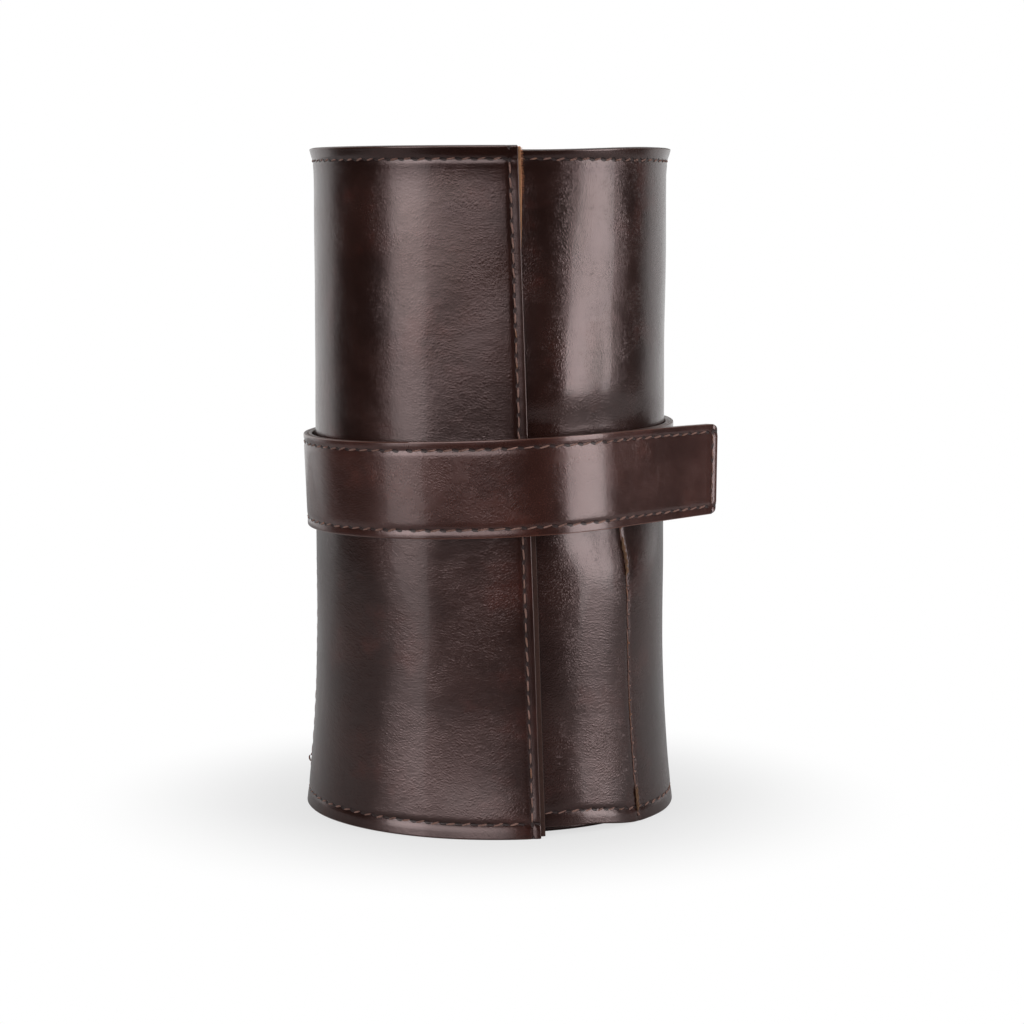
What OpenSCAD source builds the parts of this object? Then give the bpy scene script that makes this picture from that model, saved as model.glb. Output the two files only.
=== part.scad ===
// Leather watch roll: a round case of lined leather that wraps over itself round three watch pillows.
// The roll stands upright. The origin is on its axis, in the plane that it stands on, and +Z is up.
// The overlap faces -Y. Angles round the roll are counted from -Y towards +X.

/* [Roll] */
// Height of the wrapped leather
case_height = 178.5; // [160:0.5:200]
// Outer radius of the leather at its waist
waist_radius = 47.5; // [42:0.1:52]
// How far the leather spreads at its foot
foot_flare = 3; // [0.5:0.1:5]
// Height over which the foot spreads
foot_flare_height = 48; // [30:1:70]
// How far the leather spreads at its mouth
mouth_flare = 1.3; // [0.2:0.1:3]
// Height over which the mouth spreads
mouth_flare_height = 12; // [8:1:20]

/* [Layers] */
// Thickness of the outer leather
leather = 1.3; // [1:0.1:1.8]
// Thickness of the suede lining
lining = 0.8; // [0.5:0.1:1.2]
// Thickness of the stiffening board in the back wall
board = 0.8; // [0.5:0.1:1.2]
// Thickness of the pocket leather
pocket = 1; // [0.6:0.1:1.3]
// Height of the pockets above the foot of the leather
pocket_height = 86; // [60:1:110]

/* [Wrap] */
// Where the outer flap folds away from the back wall
flap_fold = -96; // [-110:1:-90]
// Where the tucked flap folds away from the back wall
tuck_fold = 58; // [50:1:70]
// Where the tucked flap ends, under the outer flap
tuck_end = -13; // [-20:1:-5]
// Edge of the outer flap at the foot
flap_edge_foot = 14.9; // [12:0.1:20]
// Edge of the outer flap at the mouth
flap_edge_mouth = 8.4; // [6:0.1:12]
// How far the lining shows past the edge of the flap
lining_reveal = 0.9; // [0.3:0.1:1.5]
// How far the pocket shows past the edge of the flap
pocket_reveal = 1.7; // [1:0.1:2.5]
// How far the tucked flap is shorter than the roll at its foot
tuck_foot_step = 2; // [0.5:0.1:4]
// How far the tucked flap is shorter than the roll at its mouth
tuck_mouth_step = 1; // [0.5:0.1:3]
// Clearance between the outer flap and the tucked flap
lap_gap = 0.4; // [0.3:0.05:1]
// Slit left at each fold
fold_slit = 0.4; // [0.3:0.05:0.8]

/* [Strap] */
// Width of the strap
strap_width = 25; // [18:0.5:32]
// Height of the middle of the strap
strap_height = 91.3; // [60:0.1:115]
// Slope of the strap round the roll, in degrees
strap_slope = 2.3; // [0:0.1:2.5]
// Thickness of the strap's outer leather
strap_leather = 1.2; // [1:0.1:1.8]
// Thickness of the strap's backing
strap_backing = 1.1; // [0.8:0.1:1.6]
// Slack between the strap and the roll
strap_slack = 0.65; // [0.55:0.05:0.95]
// Where the loose arm of the strap bends away from the flap
arm_fold = -60; // [-75:1:-40]
// Where the tail of the strap bends away from its arm
tail_fold = 11; // [5:1:14]
// Where the tail leaves the roll in a straight line
tail_leave = 45; // [40:1:48]
// Length of the straight part of the tail
tail_length = 31.2; // [28:0.1:60]
// Radius of the tail's corners
tail_corner = 2.2; // [1:0.1:5]
// Where the short arm of the strap ends, under the tail
anchor_end = 17; // [16:0.5:19]
// Width of the patch that the strap is sewn to at the back
patch_width = 34; // [20:1:45]

/* [Closure] */
// Radius of each magnet
magnet_radius = 6; // [4:0.5:6]
// Thickness of each magnet
magnet_thickness = 0.8; // [0.5:0.1:0.8]
// Where the magnets sit round the roll
magnet_turn = 34; // [30:1:36]

/* [Partitions] */
// Thickness of the leather on the end discs
disc_leather = 1.2; // [0.8:0.1:1.6]
// Thickness of the board in the discs
disc_board = 1.4; // [1:0.1:2]
// Thickness of the suede on the discs
disc_suede = 0.7; // [0.4:0.1:1]
// Depth of the upper end disc below the mouth
mouth_recess = 5; // [3:0.5:10]
// Clearance between a disc and the closed wrap
disc_gap = 0.35; // [0.3:0.05:0.8]

/* [Pillows] */
// Radius of a pillow
pillow_radius = 27; // [24:0.5:29]
// How far a pillow sits behind the roll's axis
pillow_back = 3.6; // [2:0.1:5]
// Thickness of a pillow's suede
pillow_suede = 0.9; // [0.6:0.1:1.5]
// Clearance between a pillow and the disc at each end
pillow_gap = 0.3; // [0.2:0.05:0.6]
// Radius of the rounding along a pillow's rims
pillow_round = 5; // [2:0.5:8]

/* [Hidden] */
$fn = 96;

brown = [0.17, 0.09, 0.07];
brown_backing = [0.25, 0.15, 0.11];
tan_suede = [0.55, 0.36, 0.23];
grey_board = [0.55, 0.52, 0.47];
foam_white = [0.85, 0.82, 0.74];
steel = [0.7, 0.7, 0.72];

reach = 200; // longer than the case in any direction
touch = 0.02; // what two sewn faces keep between them, so that they never cross
seat = 0.05; // what a disc keeps from the back wall that it is sewn to
magnet_spare = 0.1; // clearance round a magnet in its pocket
patch_inset = 3; // how far the patch lies inside the strap's edges
patch_spare = 0.25; // what the patch keeps from the sloping strap
fold_spare = 0.1; // what a fold's axis keeps outside the leather
steps = 6; // stations along each flare and each rounding

// ---- the wall: one profile, turned round three centres that touch at the folds ----

wrap = leather + lining + pocket;
back_wall = leather + board + lining;

// Outer radius of the leather at height z
function outer(z) = waist_radius
    + foot_flare * pow(max(0, 1 - z / foot_flare_height), 2)
    + mouth_flare * pow(max(0, 1 - (case_height - z) / mouth_flare_height), 2);

// Heights of the profile's stations, from z0 to z1
function stations(z0, z1) = concat([z0],
    [for (i = [0 : steps]) let (z = foot_flare_height * i / steps) if (z > z0 + 0.1 && z < z1 - 0.1) z],
    [for (i = [steps : -1 : 0]) let (z = case_height - mouth_flare_height * i / steps)
        if (z > max(z0, foot_flare_height) + 0.1 && z < z1 - 0.1) z],
    [z1]);

// Share of its own drift that a wall has moved in or out at an angle away from its fold
function drift(turn) = 1 - cos(turn);

// The flap's circle is larger than the back wall's and the tucked flap's is smaller, both by what the lap needs
edge_spread = wrap + lap_gap;
flap_at_tuck = drift(tuck_end - flap_fold);
flap_at_edge = drift(flap_edge_foot - flap_fold);
tuck_at_tuck = drift(tuck_fold - tuck_end);
tuck_at_edge = drift(tuck_fold - flap_edge_foot);
lap_share = flap_at_edge * tuck_at_tuck - flap_at_tuck * tuck_at_edge;
flap_growth = edge_spread * (tuck_at_tuck - tuck_at_edge) / lap_share;
tuck_shrink = edge_spread * (flap_at_edge - flap_at_tuck) / lap_share;

function spot(angle, r) = [r * sin(angle), -r * cos(angle), 0];
flap_centre = spot(flap_fold, -flap_growth);
tuck_centre = spot(tuck_fold, tuck_shrink);
slit_turn = asin(fold_slit / 2 / waist_radius);

// A layer of wall between two depths below the outer surface, from height z0 to z1 and angle a0 to a1
module wall(depth, thickness, z0, z1, a0, a1, growth = 0) {
    list = stations(z0, z1);
    last = len(list) - 1;
    profile = concat(
        [for (z = list) [outer(z) + growth - depth, z]],
        [for (i = [last : -1 : 0]) [outer(list[i]) + growth - depth - thickness, list[i]]]);
    rotate([0, 0, a0 - 90]) rotate_extrude(angle = a1 - a0) polygon(profile);
}

module back_layer(depth, thickness) {
    wall(depth, thickness, 0, case_height, tuck_fold + slit_turn, 360 + flap_fold - slit_turn);
}

// The flap's edge leans: its x at the foot and at the mouth, measured on the outer surface
edge_foot_x = (waist_radius + foot_flare + flap_growth * flap_at_edge) * sin(flap_edge_foot);
edge_mouth_x = (waist_radius + mouth_flare + flap_growth * flap_at_edge) * sin(flap_edge_mouth);
edge_lean = atan((edge_foot_x - edge_mouth_x) / case_height);
spare_turn = 8; // how far a flap layer is drawn past its edge before it is trimmed

module trimmed_at_edge(reveal) {
    difference() {
        children();
        translate([edge_foot_x + reveal, 0, 0]) rotate([0, -edge_lean, 0])
            translate([0, -reach, -reach]) cube([reach, 2 * reach, 3 * reach]);
    }
}

module flap_layer(depth, thickness, top, reveal) {
    trimmed_at_edge(reveal) translate(flap_centre)
        wall(depth, thickness, 0, top, flap_fold + slit_turn, flap_edge_foot + spare_turn, flap_growth);
}

module tuck_layer(depth, thickness, top) {
    translate(tuck_centre)
        wall(depth, thickness, tuck_foot_step, top, tuck_end, tuck_fold - slit_turn, -tuck_shrink);
}

module back_leather() { color(brown) back_layer(0, leather); }
module back_board() { color(grey_board) back_layer(leather, board); }
module back_lining() { color(tan_suede) back_layer(leather + board, lining); }
module flap_leather() { color(brown) flap_layer(0, leather, case_height, 0); }
module flap_lining() { color(tan_suede) flap_layer(leather, lining, case_height, lining_reveal); }
module flap_pocket() { color(brown_backing) flap_layer(leather + lining, pocket, pocket_height, pocket_reveal); }
module tuck_leather() { color(brown) tuck_layer(0, leather, case_height - tuck_mouth_step); }
module tuck_lining() { color(tan_suede) tuck_layer(leather, lining, case_height - tuck_mouth_step); }
module tuck_pocket() { color(brown_backing) tuck_layer(leather + lining, pocket, pocket_height); }

// ---- the strap: the same three circles, lifted by the slack and sloped round the roll ----

strap = strap_leather + strap_backing;
over_back = waist_radius + strap_slack;
over_flap = over_back + flap_growth;
over_tuck = over_back - tuck_shrink;

module strap_frame() {
    translate([0, 0, strap_height]) rotate([0, -strap_slope, 0]) children();
}

// A layer of strap from angle a0 to angle a1, at a depth above the circle of radius r
module strap_arc(r, depth, thickness, a0, a1) {
    rotate([0, 0, a0 - 90]) rotate_extrude(angle = a1 - a0)
        translate([r + depth, -strap_width / 2]) square([thickness, strap_width]);
}

module strap_back_layer(depth, thickness) {
    strap_frame() strap_arc(over_back, depth, thickness, tuck_fold + slit_turn, 360 + flap_fold - slit_turn);
}

module strap_side_layer(depth, thickness) {
    strap_frame() translate(flap_centre)
        strap_arc(over_flap, depth, thickness, flap_fold + slit_turn, arm_fold - slit_turn);
}

module strap_arm_layer(depth, thickness) {
    strap_frame() translate(flap_centre)
        strap_arc(over_flap, depth, thickness, arm_fold + slit_turn, tail_fold - slit_turn);
}

module anchor_layer(depth, thickness) {
    strap_frame() translate(tuck_centre)
        strap_arc(over_tuck, depth, thickness, anchor_end, tuck_fold - slit_turn);
}

// The tail's outline, seen square to its straight part, with its far corners rounded
outline_back = 34; // how far it reaches back over the tail's curved part
module tail_outline() {
    translate([-outline_back, -strap_width / 2])
        square([outline_back + tail_length - tail_corner, strap_width]);
    translate([-outline_back, tail_corner - strap_width / 2])
        square([outline_back + tail_length, strap_width - 2 * tail_corner]);
    for (side = [-1, 1])
        translate([tail_length - tail_corner, side * (strap_width / 2 - tail_corner)]) circle(tail_corner);
}

// The tail in plan: round the roll from its bend, then straight, a little past its end
function flat(p) = [p[0], p[1]];
function tail_plan(r0, r1) = let (
    first = tail_fold + slit_turn,
    turns = [for (i = [0 : 2 * steps]) first + (tail_leave - first) * i / (2 * steps)],
    ahead = (tail_length + 1) * spot(tail_leave + 90, 1))
    concat([for (a = turns) flat(spot(a, r0))],
        [flat(spot(tail_leave, r0) + ahead), flat(spot(tail_leave, r1) + ahead)],
        [for (i = [len(turns) - 1 : -1 : 0]) flat(spot(turns[i], r1))]);

// Places its child on the tail's straight part, with y = 0 on its inner face and -Y outwards
module on_tail() {
    translate(flap_centre) rotate([0, 0, tail_leave]) translate([0, -over_flap, 0]) children();
}

module tail_layer(depth, thickness) {
    strap_frame() intersection() {
        translate(flap_centre - [0, 0, strap_width / 2 + 1]) linear_extrude(strap_width + 2)
            polygon(tail_plan(over_flap + depth, over_flap + depth + thickness));
        on_tail() translate([0, outline_back / 2, 0]) rotate([90, 0, 0])
            linear_extrude(outline_back) tail_outline();
    }
}

// Each magnet lies flat in a pocket in its backing, under the round of the leather that covers it
function magnet_face(r) = sqrt(pow(r + strap_backing, 2) - pow(magnet_radius, 2)) - touch;
module magnet_place(centre) {
    strap_frame() translate(centre) rotate([0, 0, magnet_turn]) rotate([90, 0, 0]) children();
}
module magnet(centre, r) {
    color(steel) magnet_place(centre) translate([0, 0, magnet_face(r) - magnet_thickness])
        cylinder(h = magnet_thickness, r = magnet_radius);
}
module magnet_pocket(centre) {
    magnet_place(centre) cylinder(h = reach, r = magnet_radius + magnet_spare);
}

module strap_back_leather() { color(brown) strap_back_layer(strap_backing, strap_leather); }
module strap_back_backing() { color(brown_backing) strap_back_layer(0, strap_backing); }
module strap_side_leather() { color(brown) strap_side_layer(strap_backing, strap_leather); }
module strap_side_backing() { color(brown_backing) strap_side_layer(0, strap_backing); }
module strap_arm_leather() { color(brown) strap_arm_layer(strap_backing, strap_leather); }
module strap_arm_backing() { color(brown_backing) strap_arm_layer(0, strap_backing); }
module tail_leather() { color(brown) tail_layer(strap_backing, strap_leather); }
module tail_backing() {
    color(brown_backing) difference() {
        tail_layer(0, strap_backing);
        magnet_pocket(flap_centre);
    }
}
module tail_magnet() { magnet(flap_centre, over_flap); }
module anchor_leather() { color(brown) anchor_layer(strap_backing, strap_leather); }
module anchor_backing() {
    color(brown_backing) difference() {
        anchor_layer(0, strap_backing);
        magnet_pocket(tuck_centre);
    }
}
module anchor_magnet() { magnet(tuck_centre, over_tuck); }

// The patch that joins the strap to the middle of the back
module strap_patch() {
    half_turn = patch_width / 2 / waist_radius * 180 / PI;
    height = strap_width - 2 * patch_inset;
    color(brown_backing) rotate([0, 0, 180 - half_turn - 90]) rotate_extrude(angle = 2 * half_turn)
        translate([waist_radius, strap_height - height / 2]) square([strap_slack - patch_spare, height]);
}

// ---- the partitions: round discs that touch the back wall in its middle ----

disc = disc_leather + disc_board + disc_suede;
divider = disc_board + 2 * disc_suede;
back_middle = (tuck_fold + 360 + flap_fold) / 2;
back_room = waist_radius - back_wall - seat;
tuck_room = waist_radius - tuck_shrink - wrap - disc_gap;
reach_share = -cos(back_middle - tuck_end);
disc_radius = (tuck_room + tuck_shrink * cos(tuck_fold - tuck_end) + reach_share * back_room) / (1 + reach_share);
disc_centre = spot(back_middle, back_room - disc_radius);
foot_disc_radius = disc_radius + outer(disc) - waist_radius;

mouth_disc_top = case_height - mouth_recess;
room = (mouth_disc_top - 2 * disc - 2 * divider) / 3;
lower_divider_foot = disc + room;
upper_divider_foot = lower_divider_foot + divider + room;
mouth_disc_foot = upper_divider_foot + divider + room;

module round_plate(z, thickness, r) {
    translate(disc_centre + [0, 0, z]) cylinder(h = thickness, r = r);
}

// A leather face at height z, with a rim that runs up or down round the board
module leather_cup(z, board_z, r) {
    difference() {
        round_plate(min(z, board_z), disc_leather + disc_board, r);
        round_plate(board_z, disc_board, r - disc_leather);
    }
}

module foot_disc_leather() { color(brown) leather_cup(0, disc_leather, foot_disc_radius); }
module foot_disc_board() {
    color(grey_board) round_plate(disc_leather, disc_board, foot_disc_radius - disc_leather);
}
module foot_disc_suede() { color(tan_suede) round_plate(disc - disc_suede, disc_suede, foot_disc_radius); }

module mouth_disc_leather() {
    color(brown) leather_cup(mouth_disc_top - disc_leather, mouth_disc_foot + disc_suede, disc_radius);
}
module mouth_disc_board() {
    color(grey_board) round_plate(mouth_disc_foot + disc_suede, disc_board, disc_radius - disc_leather);
}
module mouth_disc_suede() { color(tan_suede) round_plate(mouth_disc_foot, disc_suede, disc_radius); }

module divider_board(foot) { color(grey_board) round_plate(foot + disc_suede, disc_board, disc_radius); }
module divider_suede(foot) {
    color(tan_suede) {
        round_plate(foot, disc_suede, disc_radius);
        round_plate(foot + disc_suede + disc_board, disc_suede, disc_radius);
    }
}
module lower_divider_board() { divider_board(lower_divider_foot); }
module lower_divider_suede() { divider_suede(lower_divider_foot); }
module upper_divider_board() { divider_board(upper_divider_foot); }
module upper_divider_suede() { divider_suede(upper_divider_foot); }

// ---- the pillows: foam rolls in suede, one between each pair of discs ----

pillow_length = room - 2 * pillow_gap;
foot_pillow_foot = disc + pillow_gap;
middle_pillow_foot = lower_divider_foot + divider + pillow_gap;
mouth_pillow_foot = upper_divider_foot + divider + pillow_gap;

// The pillow's outline from its axis outwards, drawn in by an inset all round
function rim(inset, side) = [for (i = [0 : steps]) let (turn = 90 * i / steps)
    [pillow_radius - pillow_round + (pillow_round - inset) * sin(side > 0 ? 90 - turn : turn),
        side > 0 ? pillow_length - pillow_round + (pillow_round - inset) * sin(turn)
            : pillow_round - (pillow_round - inset) * cos(turn)]];
module pillow_form(inset) {
    rotate_extrude() polygon(concat([[0, inset]], rim(inset, -1), rim(inset, 1), [[0, pillow_length - inset]]));
}

module pillow_core(foot) {
    color(foam_white) translate([0, pillow_back, foot]) pillow_form(pillow_suede);
}
module pillow_cover(foot) {
    color(tan_suede) translate([0, pillow_back, foot + pillow_round]) difference() {
        cylinder(h = pillow_length - 2 * pillow_round, r = pillow_radius);
        translate([0, 0, -1]) cylinder(h = pillow_length, r = pillow_radius - pillow_suede);
    }
}
module pillow_caps(foot) {
    color(tan_suede) translate([0, pillow_back, foot]) difference() {
        pillow_form(0);
        pillow_form(pillow_suede);
        translate([0, 0, pillow_round]) cylinder(h = pillow_length - 2 * pillow_round, r = pillow_radius + 1);
    }
}
module foot_pillow_core() { pillow_core(foot_pillow_foot); }
module foot_pillow_cover() { pillow_cover(foot_pillow_foot); }
module foot_pillow_caps() { pillow_caps(foot_pillow_foot); }
module middle_pillow_core() { pillow_core(middle_pillow_foot); }
module middle_pillow_cover() { pillow_cover(middle_pillow_foot); }
module middle_pillow_caps() { pillow_caps(middle_pillow_foot); }
module mouth_pillow_core() { pillow_core(mouth_pillow_foot); }
module mouth_pillow_cover() { pillow_cover(mouth_pillow_foot); }
module mouth_pillow_caps() { pillow_caps(mouth_pillow_foot); }

// What the joints turn about: just outside the outermost edge at each fold
strap_outside = over_back + strap + strap_width / 2 * sin(strap_slope);
fold_radius = max(outer(0), strap_outside) + fold_spare;
flap_axis = spot(flap_fold, fold_radius);
tuck_axis = spot(tuck_fold, fold_radius);
arm_axis = flap_centre + spot(arm_fold, over_flap + strap);
tail_axis = flap_centre + spot(tail_fold, over_flap + strap);
echo(flap_axis = flap_axis, tuck_axis = tuck_axis, arm_axis = arm_axis, tail_axis = tail_axis);
echo(disc_centre = disc_centre, disc_radius = disc_radius, foot_disc_radius = foot_disc_radius);
echo(pillow_length = pillow_length, foot_pillow_foot = foot_pillow_foot,
    middle_pillow_foot = middle_pillow_foot, mouth_pillow_foot = mouth_pillow_foot);
echo(flap_growth = flap_growth, tuck_shrink = tuck_shrink, room = room, disc = disc);

back_leather();
back_board();
back_lining();
strap_back_leather();
strap_back_backing();
strap_patch();
foot_disc_leather();
foot_disc_board();
foot_disc_suede();
mouth_disc_leather();
mouth_disc_board();
mouth_disc_suede();
lower_divider_board();
lower_divider_suede();
upper_divider_board();
upper_divider_suede();
flap_leather();
flap_lining();
flap_pocket();
strap_side_leather();
strap_side_backing();
tuck_leather();
tuck_lining();
tuck_pocket();
anchor_leather();
anchor_backing();
anchor_magnet();
strap_arm_leather();
strap_arm_backing();
tail_leather();
tail_backing();
tail_magnet();
foot_pillow_core();
foot_pillow_cover();
foot_pillow_caps();
middle_pillow_core();
middle_pillow_cover();
middle_pillow_caps();
mouth_pillow_core();
mouth_pillow_cover();
mouth_pillow_caps();
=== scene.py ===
"""The leather watch roll in its finished look, on a plain pale floor."""

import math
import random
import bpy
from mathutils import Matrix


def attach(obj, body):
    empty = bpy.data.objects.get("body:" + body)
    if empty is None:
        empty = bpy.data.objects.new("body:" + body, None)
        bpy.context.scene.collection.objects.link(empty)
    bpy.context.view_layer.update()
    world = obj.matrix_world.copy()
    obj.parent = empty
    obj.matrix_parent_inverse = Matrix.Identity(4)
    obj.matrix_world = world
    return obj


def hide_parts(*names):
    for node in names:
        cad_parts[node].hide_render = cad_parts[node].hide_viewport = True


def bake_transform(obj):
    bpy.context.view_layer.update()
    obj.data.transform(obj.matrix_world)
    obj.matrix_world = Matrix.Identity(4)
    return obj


bl_info = {
    "name": "Leather Watch Roll",
    "version": (1, 0, 0),
    "blender": (4, 5, 0),
    "location": "View3D > Sidebar > Watch Roll",
    "description": "Dresses the packed watch roll: wrap, strap, discs, pillows, stitching and stage",
    "category": "Object",
}

from contextlib import contextmanager

import bpy
import numpy as np
from mathutils import Matrix, Vector, noise

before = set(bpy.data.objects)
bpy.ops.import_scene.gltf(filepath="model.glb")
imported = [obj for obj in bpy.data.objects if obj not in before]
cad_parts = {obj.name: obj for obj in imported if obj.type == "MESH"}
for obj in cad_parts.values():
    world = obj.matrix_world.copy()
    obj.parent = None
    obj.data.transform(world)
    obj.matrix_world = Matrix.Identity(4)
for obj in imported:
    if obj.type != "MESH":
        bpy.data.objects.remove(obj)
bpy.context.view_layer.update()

# ---------------------------------------------------------------------------
# The roll's own values, in millimetres and degrees, as the solids have them.
# Angles round the roll are counted from the front (-Y) towards +X.
# ---------------------------------------------------------------------------

CASE_HEIGHT = 178.5
WAIST_RADIUS = 47.5
FOOT_FLARE, FOOT_FLARE_HEIGHT = 3.0, 48.0
MOUTH_FLARE, MOUTH_FLARE_HEIGHT = 1.3, 8.0
LEATHER, LINING, BOARD, POCKET = 1.3, 0.8, 0.8, 1.0
POCKET_HEIGHT = 86.0
FLAP_FOLD, TUCK_FOLD, TUCK_END = -96.0, 58.0, -13.0
FLAP_EDGE_FOOT, FLAP_EDGE_MOUTH = 14.9, 8.4
TUCK_FOOT_STEP, TUCK_MOUTH_STEP = 2.0, 1.0
FLAP_GROWTH, TUCK_SHRINK = 2.08838, 2.47042
EDGE_GROWTH = FLAP_GROWTH * 1.357  # what the flap's growth adds at its edge, seen from the roll's axis
BACK_MIDDLE = 161.0

STRAP_WIDTH, STRAP_HEIGHT, STRAP_SLOPE = 25.0, 91.3, 2.3
STRAP_LEATHER, STRAP_BACKING, STRAP_SLACK = 1.2, 1.1, 0.65
ARM_FOLD, TAIL_FOLD, TAIL_LEAVE = -60.0, 11.0, 40.0
TAIL_LENGTH, TAIL_CORNER, ANCHOR_END = 41.6, 2.2, 17.0
MAGNET_TURN, MAGNET_RADIUS, MAGNET_THICKNESS = 34.0, 6.0, 0.8

TAIL_SKEW = 0.05  # how far the tail's end is cut out of square, as a share of its length
TAIL_TOE_IN = 8.0  # degrees by which the straight tail points in from the round
TAIL_DROOP, TAIL_TAPER = 1.5, 0.03  # millimetres at the tail's end, and a share of its width there
TAIL_ROUND = math.radians(TAIL_LEAVE - TAIL_FOLD) * WAIST_RADIUS  # from the tail's hinge to its bend
LIE_FROM, LIE_EVENLY, LIE_RATE = 8.0, 21.0, 0.124  # degrees, degrees and millimetres a degree
STRAP_PRESS, TUCK_SWELL = 1.8, 1.9  # how far the tucked side goes in under the strap, and out above it

DISC_CENTRE = (0.353579, 1.02687)
DISC_RADIUS, FOOT_DISC_RADIUS = 43.464, 46.0656
DISC_LEATHER, DISC_BOARD, DISC_SUEDE = 1.2, 1.4, 0.7
MOUTH_DISC_TOP, DISC_LINE = CASE_HEIGHT - 5.0, 2.4
DIVIDER_FEET = {"lower": 57.0667, "upper": 113.633}

PILLOW_RADIUS, PILLOW_BACK, PILLOW_LENGTH = 27.0, 3.6, 53.1667
PILLOW_FEET = {"foot": 3.6, "middle": 60.1667, "mouth": 116.733}

MM = 0.001


def spot(angle, radius):
    """The point at an angle round the roll, in plan."""
    turn = math.radians(angle)
    return Vector((radius * math.sin(turn), -radius * math.cos(turn)))


FLAP_CENTRE = spot(FLAP_FOLD, -FLAP_GROWTH)
TUCK_CENTRE = spot(TUCK_FOLD, TUCK_SHRINK)
PLAIN_CENTRE = Vector((0.0, 0.0))


def outer_radius(z):
    """The outer leather's radius at a height."""
    foot = max(0.0, 1 - z / FOOT_FLARE_HEIGHT)
    mouth = max(0.0, 1 - (CASE_HEIGHT - z) / MOUTH_FLARE_HEIGHT)
    return WAIST_RADIUS + FOOT_FLARE * foot**2 + MOUTH_FLARE * mouth**2


def wrap_arc(turn):
    """The centre and growth of the circle that the wrap follows at an angle from -13 to 376."""
    if turn < TUCK_FOLD:
        return TUCK_CENTRE, -TUCK_SHRINK
    if turn > FLAP_FOLD + 360:
        return FLAP_CENTRE, FLAP_GROWTH
    return PLAIN_CENTRE, 0.0


def on_wrap(turn, z, depth):
    """The point of the wrap at an angle and a height, at a depth under its outer face."""
    centre, growth = wrap_arc(turn)
    plan = centre + spot(turn, outer_radius(z) + growth - depth)
    return Vector((plan.x, plan.y, z))


def eased(value, low, high):
    """0 at low, 1 at high, smooth between and level beyond."""
    share = min(1.0, max(0.0, (value - low) / (high - low)))
    return share * share * (3 - 2 * share)


def squeeze(turn):
    """How far the strap presses the tucked side in at an angle from the front."""
    return STRAP_PRESS * eased(turn, 18, 40) * eased(turn, 84, 48)


def drop(turn):
    """How far the tail lies in from the flap's circle, down on the short arm, at an angle."""
    if turn < LIE_EVENLY:
        return LIE_RATE * max(0.0, turn - LIE_FROM) ** 2 / (2 * (LIE_EVENLY - LIE_FROM))
    return LIE_RATE * (turn - (LIE_FROM + LIE_EVENLY) / 2)


def hang(past):
    """The share from 0 to 1 of its hanging length that a point of the tail, past its hinge, has reached."""
    return min(1.0, max(0.0, past / (TAIL_ROUND + TAIL_LENGTH)))


def on_strap(turn, across, depth, path):
    """The point of the strap at an angle, across its width, at a depth above its inner face.
    path is "flap", "back", "anchor", or "tail", where turn is millimetres past the bend."""
    flap_strap = WAIST_RADIUS + FLAP_GROWTH + STRAP_SLACK
    past = math.radians(turn - 360 - TAIL_FOLD) * WAIST_RADIUS if path == "flap" else 0.0
    if path == "tail":
        past = TAIL_ROUND + turn
        start = FLAP_CENTRE + spot(TAIL_LEAVE, flap_strap + depth - drop(TAIL_LEAVE))
        ahead = spot(TAIL_LEAVE + 90 + TAIL_TOE_IN, 1.0)
        plan = start + turn * (1 + TAIL_SKEW * across / STRAP_WIDTH) * ahead
    elif path == "flap":
        inwards = drop(turn - 360) if turn > 360 else 0.0
        plan = FLAP_CENTRE + spot(turn, flap_strap + depth - inwards)
    elif path == "back":
        plan = spot(turn, WAIST_RADIUS + STRAP_SLACK + depth - squeeze(turn))
    else:
        plan = TUCK_CENTRE + spot(turn, WAIST_RADIUS - TUCK_SHRINK + STRAP_SLACK + depth - squeeze(turn))
    across = across * (1 - TAIL_TAPER * hang(past) ** 2) - TAIL_DROOP * hang(past) ** 1.5
    slope = math.radians(STRAP_SLOPE)
    if path == "back" and turn < BACK_MIDDLE or path == "anchor":
        slope *= 1 - 0.5 * eased(turn, 140, 60)
    return Vector((
        plan.x * math.cos(slope) - across * math.sin(slope),
        plan.y,
        plan.x * math.sin(slope) + across * math.cos(slope) + STRAP_HEIGHT,
    ))


def flap_edge(z):
    """The angle of the outer flap's edge at a height, which leans."""
    at_foot = (WAIST_RADIUS + FOOT_FLARE + EDGE_GROWTH) * math.sin(math.radians(FLAP_EDGE_FOOT))
    at_mouth = (WAIST_RADIUS + MOUTH_FLARE + EDGE_GROWTH) * math.sin(math.radians(FLAP_EDGE_MOUTH))
    x = at_foot + (at_mouth - at_foot) * z / CASE_HEIGHT
    return math.degrees(math.asin((x - FLAP_CENTRE.x) / (outer_radius(z) + FLAP_GROWTH)))


def ripple(turn, z):
    """How far hand-cut leather strays from a true round, in millimetres."""
    a = math.radians(turn)
    slow = noise.noise(Vector((math.sin(a) * 1.6, -math.cos(a) * 1.6, z / 38)))
    quick = noise.noise(Vector((math.sin(a) * 4.2 + 7, -math.cos(a) * 4.2, z / 15)))
    under_strap = 1 - 0.78 * math.exp(-(((z - STRAP_HEIGHT) / 22) ** 2))
    return (0.12 + 0.30 * slow + 0.10 * quick) * under_strap


def tuck_bulge(turn, z):
    """How far the tucked panel swells out above the strap, and is pressed in under it."""
    middle = STRAP_HEIGHT + 36 * math.sin(math.radians(turn)) * math.sin(math.radians(STRAP_SLOPE))
    rise = eased(z, middle + 13, middle + 24) * math.exp(-((max(0.0, z - 120) / 26) ** 2))
    return TUCK_SWELL * rise * eased(turn, 39, 18) - squeeze(turn) * eased(abs(z - middle), 25, 13)


def wrap_skin(turn, z):
    """How far the wrap's outer face stands off its true round at a point."""
    return ripple(turn, z) + (tuck_bulge(turn, z) if turn < 90 else 0.0)


# ---------------------------------------------------------------------------
# Mesh helpers
# ---------------------------------------------------------------------------


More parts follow.
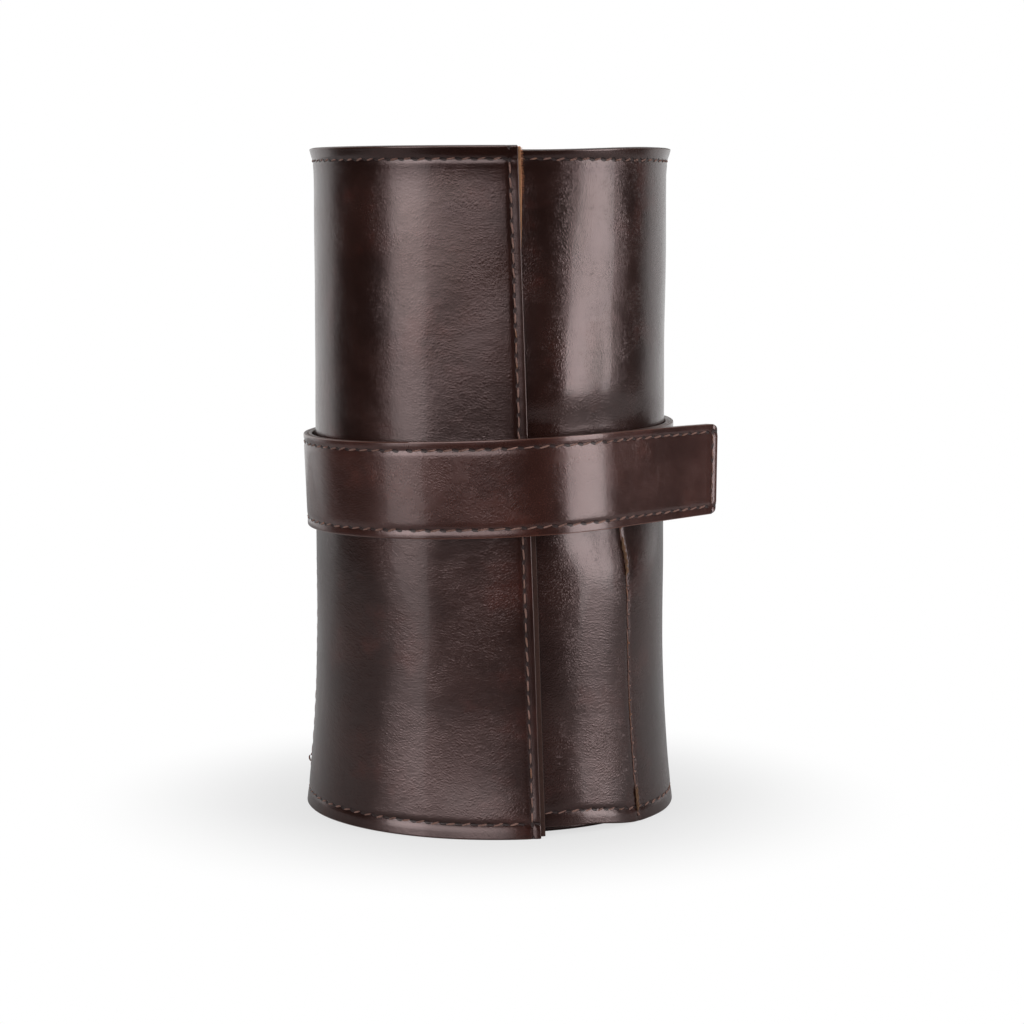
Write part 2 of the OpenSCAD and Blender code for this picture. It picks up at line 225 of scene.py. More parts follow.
def deselect_all():
    if bpy.context.object and bpy.context.object.mode != "OBJECT":
        bpy.ops.object.mode_set(mode="OBJECT")
    bpy.ops.object.select_all(action="DESELECT")


def take_up(obj):
    """Makes an object the only one selected, and the active one."""
    deselect_all()
    obj.select_set(True)
    bpy.context.view_layer.objects.active = obj


@contextmanager
def editing():
    """Edit mode with everything selected, for as long as the block lasts."""
    bpy.ops.object.mode_set(mode="EDIT")
    bpy.ops.mesh.select_all(action="SELECT")
    yield
    bpy.ops.object.mode_set(mode="OBJECT")


def modify(obj, name, kind, **settings):
    """Adds a modifier with its settings and applies it."""
    modifier = obj.modifiers.new(name, kind)
    for key, value in settings.items():
        setattr(modifier, key, value)
    take_up(obj)
    bpy.ops.object.modifier_apply(modifier=modifier.name)


def added(name):
    """The object just added, under its own name."""
    obj = bpy.context.object
    obj.name = name
    return obj


def select_where(obj, vertex=None, face=None):
    """Selects vertices by vertex(point in millimetres) or faces by face(face), and enters edit mode."""
    take_up(obj)
    mesh = obj.data
    for part in (mesh.vertices, mesh.edges, mesh.polygons):
        part.foreach_set("select", np.zeros(len(part), dtype=bool))
    if vertex:
        mesh.vertices.foreach_set("select", np.array([bool(vertex(v.co / MM)) for v in mesh.vertices]))
    else:
        mesh.polygons.foreach_set("select", np.array([bool(face(f)) for f in mesh.polygons]))
    bpy.context.tool_settings.mesh_select_mode = (bool(vertex), False, not vertex)
    bpy.ops.object.mode_set(mode="EDIT")


def sheet_from_line(name, line, start, moves):
    """A sheet swept by an upright line of (radius, height) points that starts at an angle.
    Each move is ("round", centre, degrees, steps) or ("along", plan vector, steps)."""
    deselect_all()
    bpy.ops.mesh.primitive_grid_add(x_subdivisions=1, y_subdivisions=len(line) - 1, size=10 * MM)
    obj = added(name)
    select_where(obj, vertex=lambda p: p.x < 0)
    bpy.ops.mesh.delete(type="VERT")
    bpy.ops.object.mode_set(mode="OBJECT")
    for vertex, (radius, height) in zip(obj.data.vertices, line):
        plan = moves[0][1] + spot(start, radius)
        vertex.co = Vector((plan.x, plan.y, height)) * MM
    with editing():
        for kind, way, *rest in moves:
            if kind == "round":
                degrees, steps = rest
                bpy.ops.mesh.spin(
                    steps=steps, angle=-math.radians(degrees), center=(way.x * MM, way.y * MM, 0),
                    axis=(0, 0, 1), use_auto_merge=False)
            else:
                steps, = rest
                for _ in range(steps):
                    bpy.ops.mesh.extrude_region_move(
                        TRANSFORM_OT_translate={"value": (way.x * MM / steps, way.y * MM / steps, 0)})
        bpy.ops.mesh.select_all(action="SELECT")
        bpy.ops.mesh.remove_doubles(threshold=0.00001)
        bpy.ops.mesh.normals_make_consistent(inside=False)
    return obj


def settle(obj, find, place, edge=None):
    """Lays every vertex where it belongs and gives the sheet its flat pattern as UV maps in metres.
    find(point) gives (turn, row, along), place(turn, row) the point and edge(turn, row) how far in
    from the cut end it is, all in millimetres."""
    found = [find(v.co / MM) for v in obj.data.vertices]
    for vertex, (turn, row, _) in zip(obj.data.vertices, found):
        vertex.co = place(turn, row) * MM
    flat = obj.data.uv_layers.new(name="flat")
    inset = obj.data.uv_layers.new(name="inset")
    depths = [edge(turn, row) if edge else 99.0 for turn, row, _ in found]
    for loop in obj.data.loops:
        _, row, along = found[loop.vertex_index]
        flat.data[loop.index].uv = (along * MM, row * MM)
        inset.data[loop.index].uv = (depths[loop.vertex_index] * MM, row * MM)
    obj.data.uv_layers.active = flat


def face_outwards(obj, away):
    """Turns the faces of an open sheet so that they look along away(point in millimetres)."""
    total = sum(face.area * face.normal.dot(away(face.center / MM)) for face in obj.data.polygons)
    if total < 0:
        take_up(obj)
        with editing():
            bpy.ops.mesh.flip_normals()


def from_axis(point):
    return Vector((point.x, point.y, 0)).normalized()


def thicken(obj, thickness, rounding, finishes, flush=None):
    """Gives a sheet its thickness and rounded cut edges. finishes are its face and its cut edge.
    Where flush(point) holds, an end lies flat against the next piece and isn't rounded."""
    for finish in finishes:
        obj.data.materials.append(finish)
    modify(obj, "thickness", "SOLIDIFY", thickness=thickness * MM, offset=0, use_even_offset=True,
           material_offset_rim=1)
    if flush:
        points = [bool(flush(v.co / MM)) for v in obj.data.vertices]
        select_where(obj, face=lambda f: all(points[i] for i in f.vertices))
        bpy.ops.mesh.delete(type="ONLY_FACE")
        bpy.ops.object.mode_set(mode="OBJECT")
    modify(obj, "cut edge", "BEVEL", width=rounding * MM, segments=3, limit_method="ANGLE",
           angle_limit=math.radians(50))
    if flush:
        select_where(obj, vertex=lambda p: False)
        bpy.ops.mesh.select_non_manifold(extend=False, use_boundary=True, use_wire=False)
        bpy.ops.mesh.edge_face_add()
        bpy.ops.object.mode_set(mode="OBJECT")
    take_up(obj)
    bpy.ops.object.shade_smooth_by_angle(angle=math.radians(50))


def graded(low, high, marks, step):
    """Stations from low to high, closer together round each of the marks."""
    values = {low, high}
    for mark in marks:
        for ring in (-2.2, -1.4, -0.9, -0.5, -0.2, 0, 0.2, 0.5, 0.9, 1.4, 2.2):
            values.add(mark + ring)
    values |= {low + 0.4, low + 0.9, high - 0.4, high - 0.9}
    values |= set(np.linspace(low, high, int((high - low) / step) + 1))
    kept = []
    for value in sorted(v for v in values if low <= v <= high):
        if not kept or value - kept[-1] > 0.17:
            kept.append(float(value))
    kept[-1] = high
    return kept


# ---------------------------------------------------------------------------
# Finishes
# ---------------------------------------------------------------------------


def srgb(red, green, blue):
    """A screen colour of 0 to 255 as Blender's own colour."""
    def linear(level):
        level /= 255
        return level / 12.92 if level <= 0.04045 else ((level + 0.055) / 1.055) ** 2.4
    return (linear(red), linear(green), linear(blue), 1.0)


class Signal:
    """A value in a finish's node tree that works in plain sums."""

    def __init__(self, finish, socket):
        self.finish, self.socket = finish, socket

    def sum(self, operation, first, second=None):
        sockets = {0: first} if second is None else {0: first, 1: second}
        return self.finish.node("ShaderNodeMath", {"operation": operation}, sockets)

    def __add__(self, other):
        return self.sum("ADD", self, other)

    def __radd__(self, other):
        return self.sum("ADD", other, self)

    def __sub__(self, other):
        return self.sum("SUBTRACT", self, other)

    def __rsub__(self, other):
        return self.sum("SUBTRACT", other, self)

    def __mul__(self, other):
        return self.sum("MULTIPLY", self, other)

    def __rmul__(self, other):
        return self.sum("MULTIPLY", other, self)

    def __truediv__(self, other):
        return self.sum("DIVIDE", self, other)

    def at_least(self, other):
        return self.sum("MAXIMUM", self, other)

    def __abs__(self):
        return self.sum("ABSOLUTE", self)

    def fraction(self):
        return self.sum("FRACT", self)

    def root(self):
        return self.sum("SQRT", self)

    def sine(self):
        return self.sum("SINE", self)

    def ramp(self, low, high):
        """0 at low, 1 at high and smooth between; falls where low is above high."""
        settings = {"interpolation_type": "SMOOTHSTEP"}
        if low < high:
            return self.finish.node("ShaderNodeMapRange", settings, {0: self, 1: low, 2: high})
        return self.finish.node("ShaderNodeMapRange", settings, {0: self, 1: high, 2: low, 3: 1.0, 4: 0.0})


class Finish:
    """A material, or the world's light, made node by node."""

    def __init__(self, name, owner=None):
        self.owner = owner or bpy.data.materials.new(name)
        self.owner.use_nodes = True
        self.tree = self.owner.node_tree
        self.tree.nodes.clear()

    def node(self, kind, settings=None, sockets=None, output=0):
        """A new node with its settings and then its sockets' values or links; gives one output."""
        node = self.tree.nodes.new(kind)
        for key, value in (settings or {}).items():
            if key == "stops":
                stops = node.color_ramp.elements
                while len(stops) < len(value):
                    stops.new(0.5)
                for stop, (position, colour) in zip(stops, value):
                    stop.position, stop.color = position, colour
            else:
                setattr(node, key, value)
        for key, value in (sockets or {}).items():
            if isinstance(value, Signal):
                self.tree.links.new(value.socket, node.inputs[key])
            else:
                node.inputs[key].default_value = value
        return Signal(self, node.outputs[output])

    def spread(self, vector):
        """The three numbers of a vector."""
        first = self.node("ShaderNodeSeparateXYZ", {}, {0: vector})
        return first, *(Signal(self, first.socket.node.outputs[i]) for i in (1, 2))

    def vector(self, x=0.0, y=0.0, z=0.0):
        return self.node("ShaderNodeCombineXYZ", {}, {0: x, 1: y, 2: z})

    def in_millimetres(self, vector):
        return self.node("ShaderNodeVectorMath", {"operation": "SCALE"}, {0: vector, "Scale": 1000.0})

    def place(self):
        """The object's own place, in millimetres."""
        return self.in_millimetres(self.node("ShaderNodeTexCoord", output="Object"))

    def pattern(self, name):
        """A flat pattern's (along, across), in millimetres."""
        return self.in_millimetres(self.node("ShaderNodeUVMap", {"uv_map": name}))

    def stretched(self, vector, scale, degrees=0.0):
        """A vector on which a pattern comes out larger by scale along each axis, and turned."""
        return self.node("ShaderNodeMapping", {"vector_type": "TEXTURE"}, {
            0: vector, "Rotation": (0, 0, math.radians(degrees)), "Scale": scale})

    def noise(self, vector, scale, detail=3.0, roughness=0.55, distortion=0.0):
        return self.node("ShaderNodeTexNoise", {}, {
            "Vector": vector, "Scale": scale, "Detail": detail, "Roughness": roughness,
            "Distortion": distortion}, "Fac")

    def cells(self, vector, scale, feature="DISTANCE_TO_EDGE", randomness=1.0):
        return self.node("ShaderNodeTexVoronoi", {"feature": feature}, {
            "Vector": vector, "Scale": scale, "Randomness": randomness}, "Distance")

    def blend(self, share, first, second, way="MIX"):
        """A colour mixed from two."""
        return self.node("ShaderNodeMix", {"data_type": "RGBA", "blend_type": way}, {
            0: share, 6: first, 7: second}, 2)

    def bump(self, height, distance, strength=1.0, under=None):
        """Relief of a height signal, distance in millimetres, on top of another relief."""
        sockets = {"Height": height, "Distance": distance * MM, "Strength": strength}
        if under is not None:
            sockets["Normal"] = under
        return self.node("ShaderNodeBump", {}, sockets)

    def surface(self, colour, roughness, normal=None, metallic=0.0, **constants):
        """Ends the finish in a Principled surface. constants are values of its other sockets."""
        sockets = {"Base Color": colour, "Roughness": roughness, "Metallic": metallic}
        if normal is not None:
            sockets["Normal"] = normal
        sockets |= {key.replace("_", " "): value for key, value in constants.items()}
        shader = self.node("ShaderNodeBsdfPrincipled", {}, sockets)
        self.node_out(shader)
        return self.owner

    def node_out(self, shader):
        """Ends the finish in a shader."""
        kind = "World" if isinstance(self.owner, bpy.types.World) else "Material"
        out = self.tree.nodes.new(f"ShaderNodeOutput{kind}")
        self.tree.links.new(shader.socket, out.inputs["Surface"])


PITCH = 3.8
FOOT_LINE = {"flap": 3.9, "tuck": 5.8}
MOUTH_LINE = 175.2
EDGE_LINE = 2.2
STRAP_LINES = (2.2, STRAP_WIDTH - 2.2)
TAIL_LINE = 1.9
WRAP_DENT, STRAP_DENT = 0.26, 0.22  # how far the thread pulls the leather in


def leather(name, colours, rows=(), edge_row=None, rims=(), pebble_share=(0.3, 1.0), line_share=1.0):
    """Waxed leather: pebbled grain, long creases, pull-up colour, and the holes along its seams, with painted
    shade in the grain's furrows, along the seam lines and in the holes.
    rows are the heights of its two level seams, edge_row how far in its end seam lies, rims its cut edges.
    pebble_share is how deep the grain is, from its smoothest to its roughest places."""
    f = Finish(name)
    dark, body, glow, worn = colours
    flat = f.pattern("flat")
    along, across = f.spread(flat)[:2]
    inset = f.spread(f.pattern("inset"))[0]
    warp = f.node("ShaderNodeTexNoise", {}, {"Vector": flat, "Scale": 0.12, "Detail": 3.0}, "Color")
    warp = f.node("ShaderNodeVectorMath", {"operation": "MULTIPLY_ADD"}, {
        0: warp, 1: (3.5, 3.5, 0.0), 2: flat})
    lean = f.noise(flat, 0.05, 1.0).ramp(0.42, 0.58)

    def creased(degrees, length, width):
        return f.cells(f.stretched(warp, (length, width, 1.0), degrees), 1.0)

    fine = creased(62, 0.86, 0.6) * lean + creased(-48, 0.82, 0.58) * (1 - lean)
    pebbles = fine.ramp(0.0, 0.42)
    lines = creased(-35, 4.2, 2.1).ramp(0.0, 0.12)
    pores = f.noise(flat, 3.2, 2.0, 0.6)
    swells = f.noise(flat, 0.28, 1.0, 0.5)
    where = f.noise(flat, 0.07, 3.0, 0.55).ramp(0.36, 0.6)
    clouds = f.noise(flat, 0.035, 4.0, 0.6)

    band, seam, holes = None, None, None
    lines_of_holes = [(across - row, along) for row in rows]
    if edge_row is not None:
        lines_of_holes.append((inset - edge_row, across))
        band = inset.ramp(edge_row - 0.4, edge_row - 1.0)
    if rows:
        ends = across.ramp(rows[0] - 0.4, rows[0] - 1.0).at_least(across.ramp(rows[1] + 0.4, rows[1] + 1.0))
        band = ends if band is None else ends.at_least(band)
    for off, run in lines_of_holes:
        gap = ((run / PITCH + 0.5).fraction() - 0.5) * PITCH + off * 0.5
        hole = ((off / 0.55) * (off / 0.55) + (gap / 0.8) * (gap / 0.8)).ramp(1.25, 0.5)
        line = abs(off).ramp(1.2, 0.1)
        holes = hole if holes is None else holes.at_least(hole)
        seam = line if seam is None else seam.at_least(line)

    depth = pebble_share[0] + (pebble_share[1] - pebble_share[0]) * where
    furrows = (1 - pebbles) * (0.2 + 0.8 * depth)
    colour = f.blend(clouds.ramp(0.38, 0.66), dark, body)
    colour = f.blend(f.noise(flat, 0.05, 5.0, 0.65).ramp(0.52, 0.72) * 0.55, colour, glow)
    # Painted shade: the grain's furrows are painted darker.
    colour = f.blend(furrows * 0.5, colour, dark)
    colour = f.blend(pores.ramp(0.56, 0.74) * 0.2, colour, worn)
    if rows:
        wear = inset.ramp(0.35, 0.0)
        for rim in rims:
            wear = wear.at_least(abs(across - rim).ramp(0.35, 0.0))
        colour = f.blend(wear * (0.3 + 0.3 * pores), colour, worn)
        # Painted shade: the leather along each stitch line is painted darker, as the shade in its sunk
        # groove.
        colour = f.blend(seam * 0.45, colour, dark)
        # Painted shade: the needle holes are painted almost black, for the shade inside them.
        colour = f.blend(holes * 0.96, colour, (0.002, 0.001, 0.001, 1.0))
        depth = depth * (1 - band * 0.8)
    relief = f.bump(swells, 0.08, 0.5)
    relief = f.bump(lines * (0.2 + 0.8 * where), 0.05 * line_share, 1.0, relief)
    relief = f.bump(pebbles * depth, 0.04, 1.0, relief)
    relief = f.bump(pores, 0.007, 1.0, relief)
    roughness = 0.14 + 0.08 * clouds + 0.08 * furrows + 0.05 * pores
    if rows:
        relief = f.bump(1 - holes, 0.6, 1.0, relief)
        roughness = roughness + holes * 0.4
    return f.surface(colour, roughness, relief, Specular_IOR_Level=0.6, Specular_Tint=(1.0, 0.74, 0.73, 1.0),
                     Coat_Weight=0.15, Coat_Roughness=0.09, Coat_IOR=1.5)


def cut_edge(name, base, fibre, roughness=0.5, layers=1.0, below=None):
    """The cut edge of leather, burnished or raw. below is the colour it turns to from about 18 mm under the
    mouth downwards.
    """
    f = Finish(name)
    place = f.place()
    strands = f.noise(f.stretched(place, (0.7, 0.7, 2.2)), 1.6, 5.0, 0.65)
    blotch = f.noise(place, 0.22, 3.0)
    colour = f.blend(strands.ramp(0.35, 0.7), base, fibre)
    colour = f.blend(blotch.ramp(0.45, 0.7) * 0.5, colour, base)
    if below:
        height = f.spread(place)[2] + 14 * blotch
        colour = f.blend(height.ramp(178.0, 160.0), colour, f.blend(strands * 0.2, below, base))
    relief = f.bump(strands, 0.16 * layers, 0.9)
    return f.surface(colour, roughness + 0.2 * strands, relief, Specular_IOR_Level=0.4)


def flesh_side(name, base, fibre, grain=1.0, nap=0.35):
    """Suede or the inner side of leather: short fibres lying this way and that."""
    f = Finish(name)
    place = f.place()
    nap_way = f.noise(place, 0.07, 2.0)
    fibres = f.noise(f.stretched(place, (0.8, 0.8, 1.3)), 3.2, 5.0, 0.7)
    brushed = f.noise(place, 0.33, 4.0, 0.6)
    colour = f.blend(fibres.ramp(0.3, 0.72), base, fibre)
    colour = f.blend(brushed.ramp(0.45, 0.68) * 0.4, colour, base)
    colour = f.blend(nap_way.ramp(0.4, 0.62) * 0.22, colour, fibre)
    relief = f.bump(brushed, 0.2 * grain, 0.5)
    relief = f.bump(fibres, 0.13 * grain, 1.0, relief)
    return f.surface(colour, 0.86 + 0.1 * fibres, relief, Specular_IOR_Level=0.25,
                     Sheen_Weight=nap, Sheen_Roughness=0.5)


def waxed_thread(name, base, light, tan):
    """Two strands twisted together, worn here and there; light is a painted highlight along the crest of each
    twist.
    """
    f = Finish(name)
    place = f.place()
    u, v = f.spread(f.pattern("flat"))[:2]
    twist = (u * 6.2831 + v * 16.0).sine() * 0.5 + 0.5
    each = f.noise(place, 0.19, 1.0)
    fuzz = f.noise(place, 4.0, 3.0)
    # Painted highlight: the crests of the twist take the lighter colour.
    colour = f.blend(twist, base, light)
    colour = f.blend(each.ramp(0.64, 0.70) * 0.7, colour, tan)
    relief = f.bump(twist, 0.16, 0.9)
    relief = f.bump(fuzz, 0.05, 0.6, relief)
    return f.surface(colour, 0.62 + 0.2 * fuzz, relief, Specular_IOR_Level=0.35)


def pressed_board(name, base, speck):
    f = Finish(name)
    place = f.place()
    chips = f.cells(place, 0.9, "F1")
    fibres = f.noise(place, 1.9, 5.0, 0.7)
    colour = f.blend(chips.ramp(0.2, 0.8) * 0.6, base, speck)
    relief = f.bump(fibres, 0.12, 0.8)
    return f.surface(colour, 0.84 + 0.12 * fibres, relief, Specular_IOR_Level=0.25)


def plated_magnet(name, base, shade):
    f = Finish(name)
    place = f.place()
    brushing = f.noise(f.stretched(place, (4.0, 4.0, 0.25)), 1.4, 4.0)
    marks = f.noise(place, 0.5, 4.0)
    colour = f.blend(marks.ramp(0.4, 0.7) * 0.5, base, shade)
    relief = f.bump(brushing, 0.02, 0.6)
    return f.surface(colour, 0.22 + 0.2 * brushing, relief, metallic=1.0)


LEATHER_COLOURS = (srgb(22, 7, 4), srgb(38, 17, 12), srgb(64, 28, 22), srgb(92, 62, 52))
STRAP_COLOURS = (srgb(38, 18, 14), srgb(57, 31, 26), srgb(77, 41, 34), srgb(108, 74, 64))

finishes = {}


def make_finishes():
    if finishes:
        return finishes
    wrap_rims = (0.0, CASE_HEIGHT)
    finishes["flap leather"] = leather(
        "flap_leather_finish", LEATHER_COLOURS, (FOOT_LINE["flap"], MOUTH_LINE), EDGE_LINE, wrap_rims,
        (0.3, 0.6), 0.12)
    finishes["tuck leather"] = leather(
        "tuck_leather_finish", LEATHER_COLOURS, (FOOT_LINE["tuck"], MOUTH_LINE), None,
        (TUCK_FOOT_STEP, CASE_HEIGHT - TUCK_MOUTH_STEP), (0.5, 0.8), 0.1)
    finishes["strap leather"] = leather(
        "strap_leather_finish", STRAP_COLOURS, STRAP_LINES, TAIL_LINE, (0.0, STRAP_WIDTH), (0.3, 0.5), 0.15)
    finishes["disc leather"] = leather(
        "disc_leather_finish", LEATHER_COLOURS, pebble_share=(0.1, 0.45), line_share=0.25)
    finishes["burnished edge"] = cut_edge("burnished_edge_finish", srgb(27, 15, 13), srgb(62, 42, 36), 0.36)
    finishes["strap edge"] = cut_edge("strap_edge_finish", srgb(48, 28, 24), srgb(92, 66, 57), 0.32)
    finishes["raw edge"] = cut_edge("raw_edge_finish", srgb(150, 86, 56), srgb(200, 138, 98), 0.7, 2.0,
                                     below=srgb(36, 21, 18))
    finishes["lining suede"] = flesh_side("lining_suede_finish", srgb(128, 86, 58), srgb(176, 130, 94))
    finishes["pocket leather"] = flesh_side(
        "pocket_leather_finish", srgb(44, 26, 21), srgb(68, 45, 38), 0.6, 0.1)
    finishes["strap backing"] = flesh_side(
        "strap_backing_finish", srgb(70, 44, 36), srgb(104, 72, 60), 0.7, 0.1)
    finishes["pillow suede"] = flesh_side(
        "pillow_suede_finish", srgb(146, 102, 70), srgb(192, 148, 110), 1.2, 0.45)
    finishes["disc suede"] = flesh_side("disc_suede_finish", srgb(134, 92, 62), srgb(180, 134, 98))
    # The second colour of each thread is its painted highlight.
    finishes["thread"] = waxed_thread(
        "thread_finish", srgb(112, 76, 66), srgb(180, 142, 130), srgb(152, 106, 78))
    finishes["tan thread"] = waxed_thread(
        "tan_thread_finish", srgb(104, 72, 50), srgb(150, 113, 84), srgb(128, 92, 62))
    finishes["fibre"] = cut_edge("fibre_finish", srgb(168, 100, 66), srgb(214, 156, 116), 0.7, 0.3)
    finishes["board"] = pressed_board("board_finish", srgb(128, 118, 104), srgb(158, 148, 132))
    finishes["magnet"] = plated_magnet("magnet_finish", srgb(176, 174, 170), srgb(128, 124, 118))
    return finishes


# ---------------------------------------------------------------------------
# The wrap
# ---------------------------------------------------------------------------

FLAP_END = 360 + (FLAP_EDGE_FOOT + FLAP_EDGE_MOUTH) / 2
LEAN_FROM = 320.0


def angle_about(point, centre, low):
    return (math.degrees(math.atan2(point.x - centre.x, centre.y - point.y)) - low) % 360 + low


def turn_of(point, side):
    """The angle of a point of the wrap, counted through the back so that it never jumps."""
    low = 100.0 if side == "flap" else -150.0
    turn = angle_about(point, PLAIN_CENTRE, low)
    if side == "flap" and turn > FLAP_FOLD + 360:
        turn = angle_about(point, FLAP_CENTRE, low)
    if side == "tuck" and turn < TUCK_FOLD:
        turn = angle_about(point, TUCK_CENTRE, low)
    return turn


def along_of(turn):
    """How far round the flat pattern an angle lies from the middle of the back."""
    return math.radians(turn - BACK_MIDDLE) * WAIST_RADIUS


def turn_at(along):
    return BACK_MIDDLE + math.degrees(along / WAIST_RADIUS)


def edge_turn(z, reveal=0.0):
    """The angle at which a layer of the flap ends at a height, reveal past the leather's edge.
    A reveal may be given as two numbers, below and at the mouth."""
    if isinstance(reveal, tuple):
        reveal = reveal[0] + (reveal[1] - reveal[0]) * eased(z, 140, 172)
    return 360 + flap_edge(z) + math.degrees(reveal / (outer_radius(z) + FLAP_GROWTH))


def edge_inset(turn, z):
    """How far in from the flap's leather edge a point lies."""
    return math.radians(edge_turn(z) - turn) * (outer_radius(z) + FLAP_GROWTH)


def in_back_middle(point):
    """Whether a point lies in the plane where the two halves of the wrap meet."""
    across = spot(BACK_MIDDLE, 1.0)
    ahead = spot(BACK_MIDDLE + 90, 1.0)
    plan = Vector((point.x, point.y))
    return abs(plan.dot(ahead)) < 0.03 and plan.dot(across) > 0


def dent(gap, width=0.75):
    return math.exp(-((gap / width) ** 2))


def seam_dents(side, turn, z):
    """How far the seams pull the leather in at a point."""
    depth = WRAP_DENT * dent(z - FOOT_LINE[side]) + WRAP_DENT * dent(z - MOUTH_LINE)
    if side == "flap":
        return max(depth, WRAP_DENT * dent(edge_inset(turn, z) - EDGE_LINE))
    off_pocket = along_of(turn) - along_of(pocket_seam("tuck", z))
    return max(depth, WRAP_DENT * dent(off_pocket) * (z < POCKET_HEIGHT))


def pocket_seam(side, z):
    """The angle of the seam that holds a pocket's inner end, at a height."""
    return 267.5 if side == "flap" else 52.0 - 3.4 * (max(z, 0.0) / 80) ** 1.4


def tuck_height(z, turn):
    """The tucked side's height at a point: its rims step in from the back's past the fold."""
    low, high = TUCK_FOOT_STEP, CASE_HEIGHT - TUCK_MOUTH_STEP
    lower = low * (1 - eased(turn, 54, 27)) * (high - z) / (high - low)
    higher = TUCK_MOUTH_STEP * (1 - eased(turn, 62, 10)) * max(0.0, z - MOUTH_LINE) / (high - MOUTH_LINE)
    return z - lower + higher


def wrap_sheet(name, side, depth, thickness, low, high, finishes, rounding=0.3, reveal=0.0, back_depth=None):
    """One layer of the wrap on the flap's side or the tucked side of the back's middle.
    Its depth on the back wall is back_depth, and a layer without one starts at the fold."""
    fold = FLAP_FOLD + 360 if side == "flap" else TUCK_FOLD
    ahead = 1 if side == "flap" else -1
    centre = FLAP_CENTRE if side == "flap" else TUCK_CENTRE
    growth = FLAP_GROWTH if side == "flap" else -TUCK_SHRINK
    seams = (FOOT_LINE[side], MOUTH_LINE)
    rows = graded(low, high, [s for s in seams if low < s < high], 3.0)
    end = FLAP_END if side == "flap" else TUCK_END
    if back_depth is None:
        start = fold + 1.4 * ahead
        line = [(outer_radius(z) + growth - depth, z) for z in rows]
        moves = []
    else:
        start = BACK_MIDDLE
        line = [(outer_radius(z) - depth, z) for z in rows]
        moves = [("round", PLAIN_CENTRE, fold - start, 66)]
        start = fold
    if side == "flap":
        moves.append(("round", centre, end - 11 - start, int((end - 11 - start) / 1.5)))
        moves.append(("round", centre, 11, 30))
    else:
        moves.append(("round", centre, end - start, int((start - end) / 1.0)))
    obj = sheet_from_line(name, line, start if back_depth is None else BACK_MIDDLE, moves)

    def find(point):
        turn = turn_of(point, side)
        if side == "flap" and turn > LEAN_FROM:
            leaning = edge_turn(point.z, reveal) - LEAN_FROM
            turn = LEAN_FROM + (turn - LEAN_FROM) * leaning / (end - LEAN_FROM)
        return turn, point.z, along_of(turn)

    def place(turn, row):
        z, past = row, (turn - fold) * ahead
        if side == "tuck":
            z = tuck_height(z, turn)
        share = 1.0 if back_depth is None else eased(past, -8, 8)
        at_back = back_depth or 0.0
        if at_back > depth:
            at_back = depth + (at_back - depth) * eased(min(z, CASE_HEIGHT - z), 4.5, 8.5)
        deep = depth * share + at_back * (1 - share) + thickness / 2
        return on_wrap(turn, z, deep - wrap_skin(turn, z) + seam_dents(side, turn, row))

    def tuck_inset(turn, z):
        return along_of(turn) - along_of(TUCK_END)

    settle(obj, find, place, edge_inset if side == "flap" else tuck_inset)
    face_outwards(obj, from_axis)
    thicken(obj, thickness, rounding, finishes, in_back_middle if back_depth is not None else None)
    return obj


def back_board(finish):
    """The stiffening board between the back's leather and lining, clear of the seams along the rims."""
    rows = graded(8.0, CASE_HEIGHT - 8.0, (), 3.0)
    first, last = TUCK_FOLD + 4, FLAP_FOLD + 360 - 4
    middle = LEATHER + BOARD / 2
    line = [(outer_radius(z) - middle, z) for z in rows]
    obj = sheet_from_line("back_stiffening", line, first, [("round", PLAIN_CENTRE, last - first, 130)])

    def find(point):
        turn = angle_about(point, PLAIN_CENTRE, 0.0)
        return turn, point.z, along_of(turn)

    settle(obj, find, lambda turn, z: on_wrap(turn, z, middle - wrap_skin(turn, z)))
    face_outwards(obj, from_axis)
    thicken(obj, BOARD - 0.06, 0.2, (finish, finish))
    return obj


def strap_magnet(name, turn, depth, finish):
    """A plated disc magnet in the strap, its face at a depth above the strap's inner face."""
    deselect_all()
    bpy.ops.mesh.primitive_cylinder_add(vertices=48, radius=MAGNET_RADIUS * MM, depth=MAGNET_THICKNESS * MM)
    obj = added(name)
    face = on_strap_at(turn, 0.0, depth)
    along = on_strap_at(turn + 1, 0.0, depth) - on_strap_at(turn - 1, 0.0, depth)
    out = along.cross(on_strap_at(turn, 1.0, depth) - face)
    middle = face - out.normalized() * MAGNET_THICKNESS / 2
    turned = out.to_track_quat("Z", "Y").to_matrix().to_4x4()
    obj.data.transform(Matrix.Translation(middle * MM) @ turned)
    obj.data.materials.append(finish)
    modify(obj, "broken rim", "BEVEL", width=0.15 * MM, segments=2, limit_method="ANGLE")
    bpy.ops.object.shade_smooth_by_angle(angle=math.radians(40))
    return obj


def at_fold(fold, ahead, z=STRAP_HEIGHT):
    plan = spot(fold, WAIST_RADIUS) + ahead * spot(fold + 90, 1.0)
    return (plan.x * MM, plan.y * MM, z * MM)


def bend_wrap(obj, side):
    """Works out points on either side of the layer's fold, which nothing uses, and bakes the layer's placing
    into its mesh.
    """
    if side == "flap":
        at_fold(FLAP_FOLD, -9)
        at_fold(FLAP_FOLD, 9)
        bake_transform(obj)
    else:
        at_fold(TUCK_FOLD, 9)
        at_fold(TUCK_FOLD, -9)
        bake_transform(obj)


# ---------------------------------------------------------------------------
# The strap
# ---------------------------------------------------------------------------

TAIL_TURN = 360 + TAIL_LEAVE
SIDE_END, ARM_END = 360 - 78.0, 360 - 25.0


def strap_rows():
    return [s - STRAP_WIDTH / 2 for s in graded(0, STRAP_WIDTH, STRAP_LINES, 2.4)]


def strap_path(turn):
    if turn < TUCK_FOLD:
        return "anchor", turn
    if turn < 360 + FLAP_FOLD:
        return "back", turn
    if turn <= TAIL_TURN:
        return "flap", turn
    return "tail", turn - TAIL_TURN


